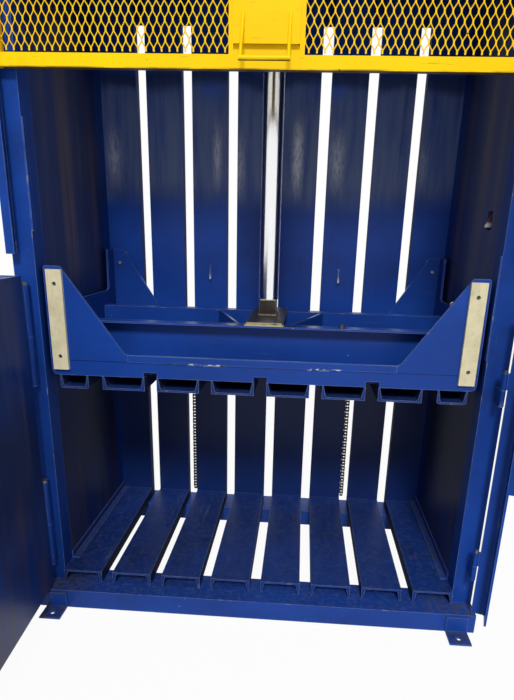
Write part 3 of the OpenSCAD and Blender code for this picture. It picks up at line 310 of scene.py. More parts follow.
# Painted shade, on flange sides and below the platen
SHADE_DARK = srgb(9, 12, 22)
OIL = srgb(26, 20, 16)
REAR_SHEEN = srgb(112, 128, 164)
REAR_SMEAR_AND_GLARE = srgb(232, 236, 242)
REAR_LIT_PATCH = srgb(62, 104, 200)
REAR_SHADE = srgb(14, 20, 40)
REAR_DRIP = srgb(14, 34, 84)
WALL_SHADE_NAVY = srgb(9, 20, 46)
WALL_RUB = srgb(88, 90, 112)
WALL_RUST = srgb(86, 56, 60)
WALL_BROWN_DUST_AND_REFLECTION = srgb(74, 56, 54)
WALL_STREAK = srgb(112, 92, 92)
SEAM_SHADOW = srgb(8, 14, 40)
BAR_RUBBED_AND_HIGHLIGHT = srgb(126, 140, 172)
FLECK = srgb(186, 192, 196)
BEAM_DIRT = srgb(74, 70, 66)
OILED_EDGE_HIGHLIGHT = srgb(196, 184, 128)
OILED_RIM_HIGHLIGHT = srgb(214, 206, 178)
FINGER_BRIGHT = srgb(232, 226, 214)
SCREW_DARK = srgb(52, 48, 42)
TOOTH_BRIGHT = srgb(206, 206, 200)
TOOTH_WORN_AND_HIGHLIGHT = srgb(96, 112, 140)
YELLOW_BROWN = srgb(206, 158, 8)
YELLOW_SCRAPE = srgb(150, 120, 40)
YELLOW_BARE = srgb(62, 52, 40)
YELLOW_UNDER_SHADE = srgb(58, 44, 18)
YELLOW_EDGE_DIRT_AND_SHADE = srgb(96, 70, 14)

# Relief of sprayed paint, in metres

PAINT_RELIEF = 0.00025


def paint(name, base, deep, chips=0.5, scuffs=0.3, dust=0.2, grime=0.3, edge=0.5, rough=0.36,
          along="z", specular=0.2, extra=None, rim_highlight=None):
    """Sprayed gloss paint on steel, with worn edges, chips to primer and rust, scuffs and dirt,
    and where asked a pale rim that is partly painted highlight.
    """
    s = Shader(name)
    cloud = s.noise(1.7, 3, 0.5)
    mottle = s.noise(23, 5, 0.6)
    fine = s.noise(160, 4, 0.6)
    colour = s.mix(s.rise(cloud, 0.3, 0.7), deep, base)
    colour = s.mix(s.times(s.rise(mottle, 0.5, 0.75), 0.3), colour, deep)

    # Scuffs and scrapes along the way that things rub past
    long = {"x": (0.04, 1, 1), "y": (1, 0.04, 1), "z": (1, 1, 0.04)}[along]
    streak = s.noise(55, 6, 0.65, long)
    scrape = s.noise(210, 3, 0.6, long, 3.1)
    patches = s.rise(s.noise(3.1, 4, 0.6, shift=1.7), 0.45, 0.72)
    scuffed = s.times(s.rise(streak, 0.56, 0.74), patches, scuffs)
    colour = s.mix(scuffed, colour, SCUFF)
    lines = s.times(s.rise(scrape, 0.68, 0.73), s.rise(mottle, 0.46, 0.62), scuffs)
    colour = s.mix(lines, colour, SCRAPE)
    dirty = s.times(s.rise(s.noise(7.5, 8, 0.66, shift=5.0), 0.46, 0.78), grime)
    colour = s.mix(dirty, colour, GRIME)

    # Edges rubbed pale, with a broad pale rim that is partly painted highlight, then worn through,
    # chips and nicks
    corner = s.edges(0.0022)
    if rim_highlight is not None:
        broad = s.times(s.edges(0.005, 0.02, 0.14), s.rise(mottle, 0.2, 0.55), 0.6)
        colour = s.mix(broad, colour, rim_highlight)
    ragged = s.rise(s.noise(75, 5, 0.7, shift=2.0), 0.62 - 0.22 * edge, 0.72 - 0.12 * edge)
    worn = s.times(corner, ragged, min(1.0, edge * 1.4))
    chance = s.rise(s.noise(9, 3, 0.6, shift=8.0), 0.68 - 0.16 * chips, 0.74 - 0.12 * chips)
    chipped = s.times(s.dots(38, 4.0, 0.12, 0.07), chance)
    rarely = s.rise(s.noise(17, 2, 0.5, shift=9.0), 0.66, 0.69)
    nick = s.times(s.edges(0.006, 0.0, 0.05), rarely, min(1.0, chips * 2))
    bare = s.most(worn, chipped, nick)
    colour = s.mix(bare, colour, s.mix(s.rise(fine, 0.5, 0.64), PRIMER, RUST))

    # Dust on what faces up
    grit = s.rise(s.noise(48, 8, 0.72, shift=6.0), 0.42, 0.74)
    settled = s.times(s.rise(s.nz, 0.6, 0.95), grit, dust)
    colour = s.mix(settled, colour, DUST)
    gloss = s.blend(s.most(scuffed, settled), rough, 0.6)
    gloss = s.plus(gloss, s.times(s.centred(fine), 0.1))
    if extra:
        colour, gloss = extra(s, colour, gloss)
    height = s.plus(s.times(s.noise(420, 2, 0.5), 0.25), s.inverse(bare))
    s.bump(s.plus(height, s.times(cloud, 2.0)), PAINT_RELIEF)
    return s.finish(colour, gloss, 0.0, specular)


# Wear, painted light and painted shade of single pieces: each function takes and gives colour and
# roughness, places are in metres

WALL_FACE = 0.762
REAR_RUBBED_AND_SHEEN = (1.57, 2.03)
REAR_SHADED = (2.0, 2.06)
REAR_LIT_PATCH_HEIGHT = (1.96, 2.02)
REAR_LIT_PATCH_AT = (-0.29, 0.235)
REAR_INSIDE = (0.386, 0.3825)

# Smears on the rear wall, partly scuffs and partly painted reflections of the flash: place across,
# half width, low and high end, strength
REAR_SMEARS_AND_GLARE = ((-0.72, 0.05, 1.64, 1.80, 0.5), (-0.262, 0.03, 1.64, 1.82, 0.55),
               (-0.17, 0.04, 1.60, 1.78, 0.5), (0.088, 0.035, 1.62, 1.84, 0.85),
               (0.258, 0.045, 1.64, 1.80, 0.6), (0.62, 0.04, 1.66, 1.76, 0.3))

# Rubbed streaks on the side walls: place in depth, half width, strength
WALL_STREAKS = ((-0.06, 0.09, 0.6), (0.196, 0.08, 0.45), (-0.22, 0.05, 0.3))
WALL_STREAK_HEIGHT = (1.25, 2.05)

PLATEN_FRONT = -0.36
PLATEN_SEAM_SHADOW = (0.9682, 0.9704)
PLATEN_BAR_TOP = (0.990, 1.0)
FLECK_SPANS = ((-0.25, -0.13), (0.16, 0.28))
FLECK_HEIGHT = (0.9665, 0.9745)

# Where wear, painted light and painted shade set in and where they are full, along one coordinate
ROD_OIL_ACROSS, ROD_OIL_HEIGHT = (0.34, 0.08), (1.04, 1.09)
ROD_PLATE_HEIGHT = (1.118, 1.1)
BLOCK_RIM_HIGHLIGHT = (1.1655, 1.168)
BEAM_END = (0.6, 0.72)
FINGER_TIP = (1.476, 1.464)
FRONT_SCREWS = (0.02, 0.0)
TOOTH_TIP = (1.238, 1.212)
TOOTH_FRONT = (0.377, 0.368)
GATE_LOWER_EDGE = (1.8735, 1.869)


def flank_share(s):
    """1 on faces that look left or right."""
    return s.rise(s.size(s.nx), 0.7, 0.95)


def flank_shade(s, colour, gloss):
    """Flange sides, which nothing rubs, are dull, and painted shade darkens them."""
    side = flank_share(s)
    return s.mix(s.times(side, 0.6), colour, SHADE_DARK), s.blend(side, gloss, 0.9)


def rear_wall_wear_and_light(s, colour, gloss):
    """Cardboard has polished the wall behind the feed opening, inside alone, to a greyish sheen
    that is partly painted reflection; also painted are bright reflections, lighter patches, a
    shadow band under the top and shade below the platen.
    """
    clean_colour, clean_gloss = colour, gloss
    wave = s.plus(s.z, s.times(s.centred(s.noise(3, 3, 0.6)), 0.14))
    # Partly polished paint, partly a painted sheen of reflected light
    rubbed_and_sheen = s.band(wave, *REAR_RUBBED_AND_SHEEN, 0.07)
    streak = s.rise(s.noise(30, 6, 0.6, (1, 1, 0.09), 2.4), 0.1, 0.72)
    colour = s.mix(s.times(rubbed_and_sheen, streak, 0.8), colour, REAR_SHEEN)
    # Near-white smears: painted reflections of the flash, partly scuffed paint
    for at, width, low, high, share in REAR_SMEARS_AND_GLARE:
        shape = s.times(s.rise(s.away(s.x, at), width, 0.0), s.band(s.z, low, high, 0.09))
        grain = s.rise(s.noise(110, 4, 0.65, (1, 1, 0.3), at), 0.22, 0.6)
        colour = s.mix(s.times(shape, grain, share), colour, REAR_SMEAR_AND_GLARE)
    # Patches painted lighter than the paint itself, standing in for light within the shaded band
    for at in REAR_LIT_PATCH_AT:
        lit_patch = s.times(s.rise(s.away(s.x, at), 0.075, 0.01),
                        s.band(s.z, *REAR_LIT_PATCH_HEIGHT, 0.04))
        colour = s.mix(s.times(lit_patch, 0.85), colour, REAR_LIT_PATCH)
    shaded = s.band(wave, *REAR_SHADED, 0.02)
    colour = s.mix(s.times(shaded, 0.6), colour, REAR_SHADE)
    # Painted shade below the platen, darker towards the bottom
    low = s.rise(s.z, 1.02, 0.84)
    colour = s.mix(s.times(low, 0.68), colour, SHADE_DARK)
    drips = s.times(s.rise(s.noise(60, 4, 0.6, (1, 1, 0.02), 6.4), 0.63, 0.7),
                    s.rise(s.z, 1.0, 1.2), 0.35)
    colour = s.mix(drips, colour, REAR_DRIP)
    gloss = s.blend(s.times(rubbed_and_sheen, 0.8), gloss, 0.27)
    colour, gloss = flank_shade(s, colour, gloss)
    # Wear and painted light apply inside and on the flanks alone
    worn = s.most(s.rise(s.y, *REAR_INSIDE), s.times(flank_share(s), 0.8))
    return s.mix(worn, clean_colour, colour), s.blend(worn, clean_gloss, gloss)


def walls_wear_and_shade(s, colour, gloss):
    """Upright grey-brown rubbing by the bales, inside alone; painted shade darkens the inner face,
    more towards the floor, and the brown low down is partly painted reflection.
    """
    clean_colour, clean_gloss = colour, gloss
    # Painted shade: the inner face is half darkened to navy
    colour = s.mix(0.5, colour, WALL_SHADE_NAVY)
    streak = s.noise(26, 7, 0.65, (1, 1, 0.05), 2.4)
    broad = s.noise(4, 4, 0.6, (1, 1, 0.3), 5.4)
    rub = s.times(s.rise(streak, 0.4, 0.75), s.rise(broad, 0.35, 0.65), 0.5)
    colour = s.mix(rub, colour, WALL_RUB)
    rusty = s.times(s.rise(s.noise(7, 5, 0.6, (1, 1, 0.25), 8.1), 0.62, 0.78),
                    s.rise(streak, 0.5, 0.7), 0.5)
    colour = s.mix(rusty, colour, WALL_RUST)
    # Painted shade below the platen
    low = s.times(s.rise(s.z, 0.95, 0.7), s.rise(s.z, 0.25, 0.6))
    colour = s.mix(s.times(low, 0.5), colour, SHADE_DARK)
    # Brown low on the walls: partly dust, partly a painted reflection of cardboard
    brown = s.times(s.rise(s.z, 0.75, 0.3),
                    s.rise(s.noise(9, 6, 0.65, (1, 1, 0.15), 3.9), 0.42, 0.66), 0.6)
    colour = s.mix(brown, colour, WALL_BROWN_DUST_AND_REFLECTION)
    for at, width, share in WALL_STREAKS:
        shape = s.times(s.rise(s.away(s.y, at), width, 0.0),
                        s.band(s.z, *WALL_STREAK_HEIGHT, 0.2), s.rise(streak, 0.25, 0.6), share)
        colour = s.mix(shape, colour, WALL_STREAK)
    inside = s.most(s.rise(s.size(s.x), WALL_FACE + 0.0025, WALL_FACE + 0.0005),
                    s.rise(s.y, -0.40, -0.42))
    worn_gloss = s.blend(rub, gloss, 0.48)
    return s.mix(inside, clean_colour, colour), s.blend(inside, clean_gloss, worn_gloss)


def door_wear_and_shade(s, colour, gloss):
    """The door's inner face is worn like the walls, with the same painted shade. Its own normal
    tells it at any angle.
    """
    worn_shaded_colour, worn_gloss = walls_wear_and_shade(s, colour, gloss)
    own_x = s.split(s.own_normal)[0]
    inner = s.rise(own_x, 0.3, 0.6)
    return s.mix(inner, colour, worn_shaded_colour), s.blend(inner, gloss, worn_gloss)


def platen_wear_and_light(s, colour, gloss):
    """Bare flecks along the flat bar, a dark gap at it that is partly painted shadow, a pale line
    on its top that is partly painted highlight, and oil below the rod.
    """
    front = s.rise(s.y, PLATEN_FRONT + 0.0005, PLATEN_FRONT - 0.0005)
    # Dark line at the bar's lower edge: a gap with a painted shadow
    gap_shadow = s.times(front, s.band(s.z, *PLATEN_SEAM_SHADOW, 0.0006))
    colour = s.mix(s.times(gap_shadow, 0.85), colour, SEAM_SHADOW)
    # Pale top of the bar, on faces turned up: partly rubbed paint, partly painted highlight
    top = s.times(s.rise(s.nz, 0.6, 0.9), s.band(s.z, *PLATEN_BAR_TOP, 0.002))
    rubbed_and_sheen = s.rise(s.noise(40, 5, 0.6, (0.1, 1, 1)), 0.3, 0.6)
    colour = s.mix(s.times(top, rubbed_and_sheen, 0.6), colour, BAR_RUBBED_AND_HIGHLIGHT)
    flecked = s.most(*(s.band(s.x, low, high, 0.015) for low, high in FLECK_SPANS))
    flecks = s.times(front, flecked, s.band(s.z, *FLECK_HEIGHT, 0.001),
                     s.rise(s.noise(120, 3, 0.6, (0.35, 1, 1), 4.4), 0.5, 0.56))
    colour = s.mix(flecks, colour, FLECK)
    near_rod = s.times(s.rise(s.size(s.x), *ROD_OIL_ACROSS), s.rise(s.z, *ROD_OIL_HEIGHT),
                       s.rise(s.nz, 0.5, 0.9))
    oil = s.times(near_rod, s.rise(s.noise(16, 6, 0.65, shift=2.2), 0.34, 0.6), 0.85)
    return s.mix(oil, colour, OIL), s.blend(oil, gloss, 0.22)


def base_wear(s, colour, gloss):
    """Rubbed dirt in front of the posts, where bales are pulled over the beam."""
    near_post = s.times(s.rise(s.size(s.x), *BEAM_END), s.rise(s.nz, 0.5, 0.9))
    dirt = s.times(near_post, s.rise(s.noise(42, 7, 0.7, shift=1.2), 0.42, 0.62), 0.75)
    return s.mix(dirt, colour, BEAM_DIRT), s.blend(dirt, gloss, 0.7)


def rod_plate_wear_and_highlight(s, colour, gloss):
    """Cut edges of the rod's plates that face the front, and the block's rim, are bright: a film
    of yellow oil with a painted highlight.
    """
    # Painted highlight on faces turned to the front, partly oil film
    front = s.times(s.rise(s.ny, -0.8, -0.95),
                    s.rise(s.noise(90, 4, 0.65, (0.35, 1, 1)), 0.36, 0.5))
    plates = s.rise(s.z, *ROD_PLATE_HEIGHT)
    colour = s.mix(s.times(front, plates, 0.85), colour, OILED_EDGE_HIGHLIGHT)
    # The block's top rim: a painted highlight, partly oil film
    rim_highlight = s.times(s.rise(s.z, *BLOCK_RIM_HIGHLIGHT), s.rise(s.noise(60, 4, 0.6, shift=3.3), 0.3, 0.5))
    return s.mix(s.times(rim_highlight, 0.8), colour, OILED_RIM_HIGHLIGHT), gloss


def finger_wear(s, colour, gloss):
    """The finger's tip is rubbed bright by the bales."""
    tip = s.times(s.rise(s.z, *FINGER_TIP), s.rise(s.noise(90, 4, 0.6), 0.3, 0.42))
    return s.mix(tip, colour, FINGER_BRIGHT), s.blend(tip, gloss, 0.3)


def screw_darkening(s, colour, gloss):
    """The screws in front are darker, those at the rear stay bright."""
    front = s.rise(s.y, *FRONT_SCREWS)
    return s.mix(s.times(front, 0.85), colour, SCREW_DARK), s.blend(front, gloss, 0.5)


def tooth_wear_and_highlight(s, colour, gloss):
    """The teeth on the rear wall are bare and bright at their tips; their front edges are pale,
    partly worn paint and partly painted highlight.
    """
    tip = s.rise(s.z, *TOOTH_TIP)
    front = s.rise(s.y, *TOOTH_FRONT)
    colour = s.mix(s.times(tip, 0.9), colour, TOOTH_BRIGHT)
    colour = s.mix(s.times(front, s.inverse(tip), 0.55), colour, TOOTH_WORN_AND_HIGHLIGHT)
    return colour, s.blend(tip, gloss, 0.3)


# Painted steel

blue_frame = paint("blue_frame", BLUE, BLUE_DEEP, chips=0.5, scuffs=0.3, dust=0.12, grime=0.3,
                   edge=0.5, rim_highlight=RIM_HIGHLIGHT, specular=0.1, rough=0.42)
blue_base = paint("blue_base", BLUE, BLUE_DEEP, chips=0.6, scuffs=0.3, dust=0.3, grime=0.35,
                  edge=0.55, along="x", rough=0.42, extra=base_wear, rim_highlight=RIM_HIGHLIGHT)
blue_platen = paint("blue_platen", PLATEN_BLUE, PLATEN_BLUE_DEEP, chips=0.4, scuffs=0.3, dust=0.15,
                    grime=0.16, edge=0.6, along="x", extra=platen_wear_and_light, rim_highlight=RIM_HIGHLIGHT)
blue_inside = paint("blue_inside", BLUE_DEEP, NAVY, chips=0.4, scuffs=0.4, dust=0.3, grime=0.5,
                    edge=0.5, along="x", rough=0.45)
blue_channels = paint("blue_channels", BLUE_DEEP, NAVY, chips=0.4, scuffs=0.75, dust=0.2,
                      grime=0.4, edge=0.8, along="y", rough=0.4, extra=flank_shade, rim_highlight=RIM_HIGHLIGHT)
navy_side = paint("navy_side", BLUE, BLUE_DEEP, chips=0.2, scuffs=0.3, dust=0.0, grime=0.4,
                  edge=0.2, rough=0.38, extra=walls_wear_and_shade)
navy_rear = paint("navy_rear", REAR_BLUE_LIT, REAR_BLUE_LIT_DEEP, chips=0.12, scuffs=0.2, dust=0.0,
                  grime=0.2, edge=0.25, rough=0.33, extra=rear_wall_wear_and_light)
navy_door = paint("navy_door", DOOR_BLUE, BLUE, chips=0.25, scuffs=0.35, dust=0.1, grime=0.35,
                  edge=0.35, rough=0.38, extra=door_wear_and_shade)
tooth_paint = paint("tooth_paint", BLUE, BLUE_DEEP, chips=0.2, scuffs=0.3, grime=0.2, edge=0.9,
                    extra=tooth_wear_and_highlight)


def yellow_paint():
    """The gate's paint: scraped along x, painted shade underneath, and dirt with painted shade
    along its lower edge.
    """
    s = Shader("yellow_gate")
    cloud = s.noise(2.2, 3, 0.5)
    colour = s.mix(s.rise(cloud, 0.3, 0.7), YELLOW_WARM, YELLOW)
    brown = s.times(s.rise(s.noise(7, 6, 0.65, shift=3.0), 0.55, 0.8), 0.3)
    colour = s.mix(brown, colour, YELLOW_BROWN)
    worn = s.times(s.edges(0.002), s.rise(s.noise(70, 5, 0.7), 0.6, 0.7), 0.8)
    chipped = s.times(s.dots(30, 1.0, 0.11, 0.06),
                      s.rise(s.noise(8, 3, 0.6, shift=8.0), 0.6, 0.66))
    scrape = s.times(s.rise(s.noise(180, 3, 0.6, (0.05, 1, 1), 3.0), 0.66, 0.7), 0.5)
    bare = s.most(worn, chipped)
    colour = s.mix(scrape, colour, YELLOW_SCRAPE)
    colour = s.mix(bare, colour, YELLOW_BARE)
    # Painted shade on faces turned down
    underside_shade = s.times(s.rise(s.nz, -0.7, -0.9), 0.9)
    colour = s.mix(underside_shade, colour, YELLOW_UNDER_SHADE)
    # Lower edge darkened: partly dirt, partly painted shadow
    low = s.times(s.rise(s.noise(26, 5, 0.6, (0.2, 1, 1)), 0.4, 0.62),
                  s.rise(s.z, *GATE_LOWER_EDGE), 0.8)
    colour = s.mix(low, colour, YELLOW_EDGE_DIRT_AND_SHADE)
    s.bump(s.plus(s.times(s.noise(420, 2, 0.5), 0.25), s.inverse(bare)), PAINT_RELIEF)
    return s.finish(colour, s.blend(bare, 0.38, 0.6), 0.0, 0.14)


# Bare metal and plastic

EVEN = (1, 1, 1)
GREASE = srgb(24, 20, 17)
BRIGHT_EDGE = srgb(190, 188, 182)
PLASTIC_LINE = srgb(120, 104, 74)
PLASTIC_SPOT = srgb(86, 72, 50)


def metal(name, bright, dark, tarnish, rough, grease=0.0, along=(1, 1, 0.05), edge=0.0,
          metallic=0.9, relief=0.0002, extra=None):
    """Bare, plated or greasy steel."""
    s = Shader(name)
    grain = s.noise(130, 5, 0.6, along)
    cloud = s.noise(14, 5, 0.6)
    colour = s.mix(s.rise(grain, 0.3, 0.7), dark, bright)
    colour = s.mix(s.times(s.rise(cloud, 0.45, 0.7), 0.6), colour, tarnish)
    film = s.times(s.rise(s.noise(22, 6, 0.65, shift=3.0), 0.34, 0.62), grease)
    colour = s.mix(film, colour, GREASE)
    shine = s.inverse(s.times(film, 0.7))
    if edge:
        corner = s.times(s.edges(0.0025), s.rise(s.noise(60, 4, 0.6, shift=2.0), 0.4, 0.6), edge)
        colour = s.mix(corner, colour, BRIGHT_EDGE)
        shine = s.most(shine, corner)
    gloss = s.blend(film, rough, 0.42)
    gloss = s.plus(gloss, s.times(s.centred(grain), 0.2))
    if extra:
        colour, gloss = extra(s, colour, gloss)
    s.bump(s.plus(grain, s.times(cloud, 0.8)), relief)
    return s.finish(colour, gloss, s.times(shine, metallic))


def plastic(name, colour_a, colour_b, rough, scratches, dirt, specular=0.4):
    """Moulded or sawn plastic with a little dirt and rubbing."""
    s = Shader(name)
    colour = s.mix(s.rise(s.noise(18, 4, 0.6), 0.35, 0.65), colour_a, colour_b)
    lines = s.times(s.rise(s.noise(150, 4, 0.6, (1, 1, 0.04), 2.0), 0.6, 0.72), scratches)
    colour = s.mix(lines, colour, PLASTIC_LINE)
    spots = s.times(s.rise(s.noise(30, 6, 0.7, shift=4.0), 0.56, 0.76), dirt)
    colour = s.mix(spots, colour, PLASTIC_SPOT)
    s.bump(s.noise(300, 3, 0.6), 0.0001)
    return s.finish(colour, s.blend(lines, rough, 0.6), 0.0, specular)


rusty_red = paint("rusty_red", srgb(92, 40, 34), srgb(58, 26, 24), chips=0.3, scuffs=0.3,
                  grime=0.4, edge=0.3)
yellow = yellow_paint()
cream = plastic("cream_plastic", srgb(203, 194, 158), srgb(218, 208, 174), 0.5, 0.3, 0.25, 0.2)
red = plastic("red_plastic", srgb(190, 26, 20), srgb(206, 34, 26), 0.3, 0.0, 0.12)
green = plastic("green_plastic", srgb(24, 120, 54), srgb(30, 134, 62), 0.3, 0.0, 0.12)
black = plastic("black_plastic", srgb(26, 26, 27), srgb(36, 36, 38), 0.38, 0.0, 0.1)
steel = metal("zinc_steel", srgb(178, 180, 182), srgb(128, 130, 132), srgb(112, 104, 92), 0.34)
steel_worn = metal("worn_steel", srgb(150, 148, 144), srgb(96, 92, 88), srgb(70, 58, 46), 0.42,
                   grease=0.35, edge=0.5)
greasy = metal("greasy_steel", srgb(84, 80, 76), srgb(52, 48, 45), srgb(44, 34, 27), 0.36,
               grease=0.75, along=EVEN, edge=0.9, extra=rod_plate_wear_and_highlight)
chain_steel = metal("chain_steel", srgb(58, 54, 50), srgb(34, 31, 29), srgb(30, 23, 18), 0.4,
                    grease=0.6, along=EVEN, edge=0.35)
chrome = metal("chrome_rod", srgb(250, 250, 252), srgb(240, 241, 243), srgb(246, 246, 244), 0.19,
               along=(1, 1, 6), metallic=1.0, relief=0.00001)
finger_steel = metal("finger_steel", srgb(128, 66, 54), srgb(84, 40, 34), srgb(60, 32, 28), 0.45,
                     grease=0.2, along=EVEN, edge=0.4, metallic=0.4, extra=finger_wear)
screw_steel = metal("screw_steel", srgb(206, 204, 198), srgb(150, 148, 142), srgb(120, 110, 96),
                    0.36, grease=0.1, along=EVEN, edge=0.5, extra=screw_darkening)
iron = metal("pump_iron", srgb(92, 94, 96), srgb(68, 70, 72), srgb(54, 50, 46), 0.5,
             grease=0.4, along=EVEN, edge=0.4, metallic=0.5)
grey = paint("grey_paint", srgb(138, 144, 150), srgb(120, 126, 132), chips=0.3, scuffs=0.1,
             dust=0.35, grime=0.35, edge=0.3, rough=0.4)
weld_metal = metal("weld_metal", srgb(150, 140, 118), srgb(92, 82, 66), srgb(60, 46, 32), 0.38,
                   grease=0.4, along=EVEN, edge=0.6)


# Which piece is made of what

def assign(material, *names):
    """Puts one material in every slot of each named node."""
    for name in names:
        slots = nodes[name].material_slots
        if len(slots) == 0:
            nodes[name].data.materials.append(material)
        for entry in slots:
            entry.material = material


assign(blue_frame, "front_posts", "rear_posts", "side_ribs", "rear_rails", "top_rails",
       "crosshead", "top_plates", "header_panel", "gate_tracks", "cylinder_barrel", "oil_tank",
       "control_box", "control_door", "door_frame", "door_knuckles", "post_knuckles", "latch_bar")
assign(blue_base, "base_beams", "anchor_feet", "floor_angles")
assign(blue_platen, "platen_front_plate", "platen_rear_plate", "platen_side_plates",
       "platen_rails", "platen_gussets")
assign(blue_inside, "platen_floor_plate")
assign(blue_channels, "floor_channels", "platen_channels")
assign(navy_rear, "rear_wall_channels")
assign(navy_side, "side_walls")
assign(navy_door, "door_plate")
assign(tooth_paint, "rear_pegs")
assign(rusty_red, "dog_box")
assign(yellow, "gate_frame", "gate_panel", "gate_handle")
assign(cream, "wear_strips", "gate_pads")
assign(red, "emergency_stop")
assign(green, "start_button")
assign(black, "return_button", "mode_selector")
assign(steel, "box_hinges", "hydraulic_pipes", "valve_block", "swing_bolt", "hand_nut")
assign(steel_worn, "hinge_pins")
assign(greasy, "rod_plates", "rod_block", "piston")
assign(chain_steel, "ejector_chains")
assign(chrome, "piston_rod")
assign(finger_steel, "dog_finger")
assign(screw_steel, "platen_fasteners")
assign(iron, "gear_pump", "cylinder_gland")
assign(grey, "drive_motor", "oil_filter")


# Mesh helpers

def box_mm(name):
    """A node's box: low and high corner, in millimetres."""
    low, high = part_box(name)
    return [v * MM for v in low], [v * MM for v in high]


class Solid:
    """Gathers simple closed shapes, in millimetres, for one mesh."""

    def __init__(self):
        self.verts = []
        self.faces = []

    def loft(self, rings):
        """Rings of points of the same count, joined and capped."""
        start = len(self.verts)
        n = len(rings[0])
        for ring in rings:
            self.verts.extend(Vector(p) / MM for p in ring)
        for i in range(len(rings) - 1):
            a = start + i * n
            b = a + n
            for j in range(n):
                k = (j + 1) % n
                self.faces.append((a + j, a + k, b + k, b + j))
        self.faces.append(tuple(start + j for j in range(n - 1, -1, -1)))
        last = start + (len(rings) - 1) * n
        self.faces.append(tuple(last + j for j in range(n)))

    def turned(self, centre, axis, profile, count=24, phase=0.0):
        """A shape turned about an axis through centre: profile is (distance along, radius)."""
        axis = Vector(axis).normalized()
        side = axis.orthogonal().normalized()
        other = axis.cross(side)
        rings = []
        for along, radius in profile:
            ring = []
            for i in range(count):
                a = 2 * math.pi * (i + phase) / count
                ring.append(Vector(centre) + axis * along
                            + (side * math.cos(a) + other * math.sin(a)) * radius)
            rings.append(ring)
        self.loft(rings)

    def box(self, low, high, chamfer=0.0):
        """A block, with small chamfers all round if asked."""
        (x0, y0, z0), (x1, y1, z1) = low, high
        c = chamfer
        if c <= 0:
            self.loft([[(x0, y0, z), (x1, y0, z), (x1, y1, z), (x0, y1, z)] for z in (z0, z1)])
            return

        def ring(inset, z):
            a, b, d, e = x0 + inset, x1 - inset, y0 + inset, y1 - inset
            return [(a + c, d, z), (b - c, d, z), (b, d + c, z), (b, e - c, z),
                    (b - c, e, z), (a + c, e, z), (a, e - c, z), (a, d + c, z)]
        self.loft([ring(c, z0), ring(0, z0 + c), ring(0, z1 - c), ring(c, z1)])

    def made(self, name, material, body, slot, smooth=False):
        """One piece of all that was gathered, on a body; the slot is not used."""
        data = bpy.data.meshes.new(name)
        data.from_pydata([tuple(v) for v in self.verts], [], self.faces)
        data.update()
        for polygon in data.polygons:
            polygon.use_smooth = smooth
        piece = bpy.data.objects.new(name, data)
        bpy.context.scene.collection.objects.link(piece)
        data.materials.append(material)
        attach(piece, body)
        return piece


# Expanded metal of the gate

MESH_SHORT, MESH_LONG = 23.4, 50.8
STRAND_WIDTH, STRAND_THICK = 3.0, 1.6
BOND = 7.0
BOND_HALF_WIDTH = STRAND_WIDTH * 0.8
BOND_HALF_LENGTH = BOND * 0.7
FIRST_COLUMN = 110.0

# A strand from bond to bond: share of its length, share of its turn, share of its width
STRAND_RINGS = ((0, 0.15, 1.25), (0.25, 0.55, 1), (0.75, 0.55, 1), (1, 0.15, 1.25))


def strand(body, start, end, y, lean):
    """One strand, turned a little about its own length; start and end are (x, z)."""
    (xa, za), (xb, zb) = start, end
    direction = Vector((xb - xa, 0, zb - za))
    direction.normalize()
    side = Vector((direction.z, 0, -direction.x))
    rings = []
    for t, turn, grow in STRAND_RINGS:
        angle = lean * turn
        flat = side * math.cos(angle) + Vector((0, 1, 0)) * math.sin(angle)
        deep = Vector((0, 1, 0)) * math.cos(angle) - side * math.sin(angle)
        centre = Vector((xa + (xb - xa) * t, y, za + (zb - za) * t))
        w = STRAND_WIDTH * grow / 2
        d = STRAND_THICK / 2
        rings.append([centre - flat * w - deep * d, centre + flat * w - deep * d,
                      centre + flat * w + deep * d, centre - flat * w + deep * d])
    body.loft(rings)


def gate_mesh():
    """Raised expanded metal: slanted strands that meet in short flat bonds, long way upright."""
    (_, y0, bottom), (outer, y1, top) = box_mm("gate_mesh")
    middle = (y0 + y1) / 2
    body = Solid()
    columns = int((outer - FIRST_COLUMN) / (MESH_SHORT / 2)) + 1
    rows = int((top - bottom) / MESH_LONG) + 1
    for sign in (-1, 1):
        for i in range(columns):
            x0 = FIRST_COLUMN + i * MESH_SHORT / 2
            x1 = x0 + MESH_SHORT / 2
            if x1 > outer + 0.1:
                break
            for j in range(rows + 1):
                base = bottom + j * MESH_LONG + (i % 2) * MESH_LONG / 2 - MESH_LONG / 4
                half = base + MESH_LONG / 2
                for z0, z1, lean in ((base + BOND / 2, half - BOND / 2, 1),
                                     (base + MESH_LONG - BOND / 2, half + BOND / 2, -1)):
                    if min(z0, z1) < bottom or max(z0, z1) > top:
                        continue
                    strand(body, (sign * x0, z0), (sign * x1, z1), middle, lean * sign)
                if bottom + BOND < base < top - BOND:
                    body.box((sign * x0 - BOND_HALF_WIDTH, middle - STRAND_THICK / 2,
                              base - BOND_HALF_LENGTH),
                             (sign * x0 + BOND_HALF_WIDTH, middle + STRAND_THICK / 2,
                              base + BOND_HALF_LENGTH))
    piece = body.made("expanded_metal", yellow, "gate", "yellow_paint")
    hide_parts("gate_mesh")


# Weld round the rod's block

WELD_LEG = 7
WELD_RIPPLE = 5.0


def bead(body, a, b, one, two):
    """A rippled fillet bead from a to b; its legs lie along one and two."""
    a, b, one, two = Vector(a), Vector(b), Vector(one), Vector(two)
    last = 2 * max(2, int((b - a).length / WELD_RIPPLE))
    sunk = (one + two) * 0.3
    rings = []
    for i in range(last + 1):
        swell = WELD_LEG * (1.0 if i % 2 else 0.8)
        if i in (0, last):
            swell *= 0.6
        at = a + (b - a) * i / last
        rings.append([at - sunk, at + one * swell - two * 0.3, at + (one + two) * swell * 0.56,
                      at + two * swell - one * 0.3])
    body.loft(rings)


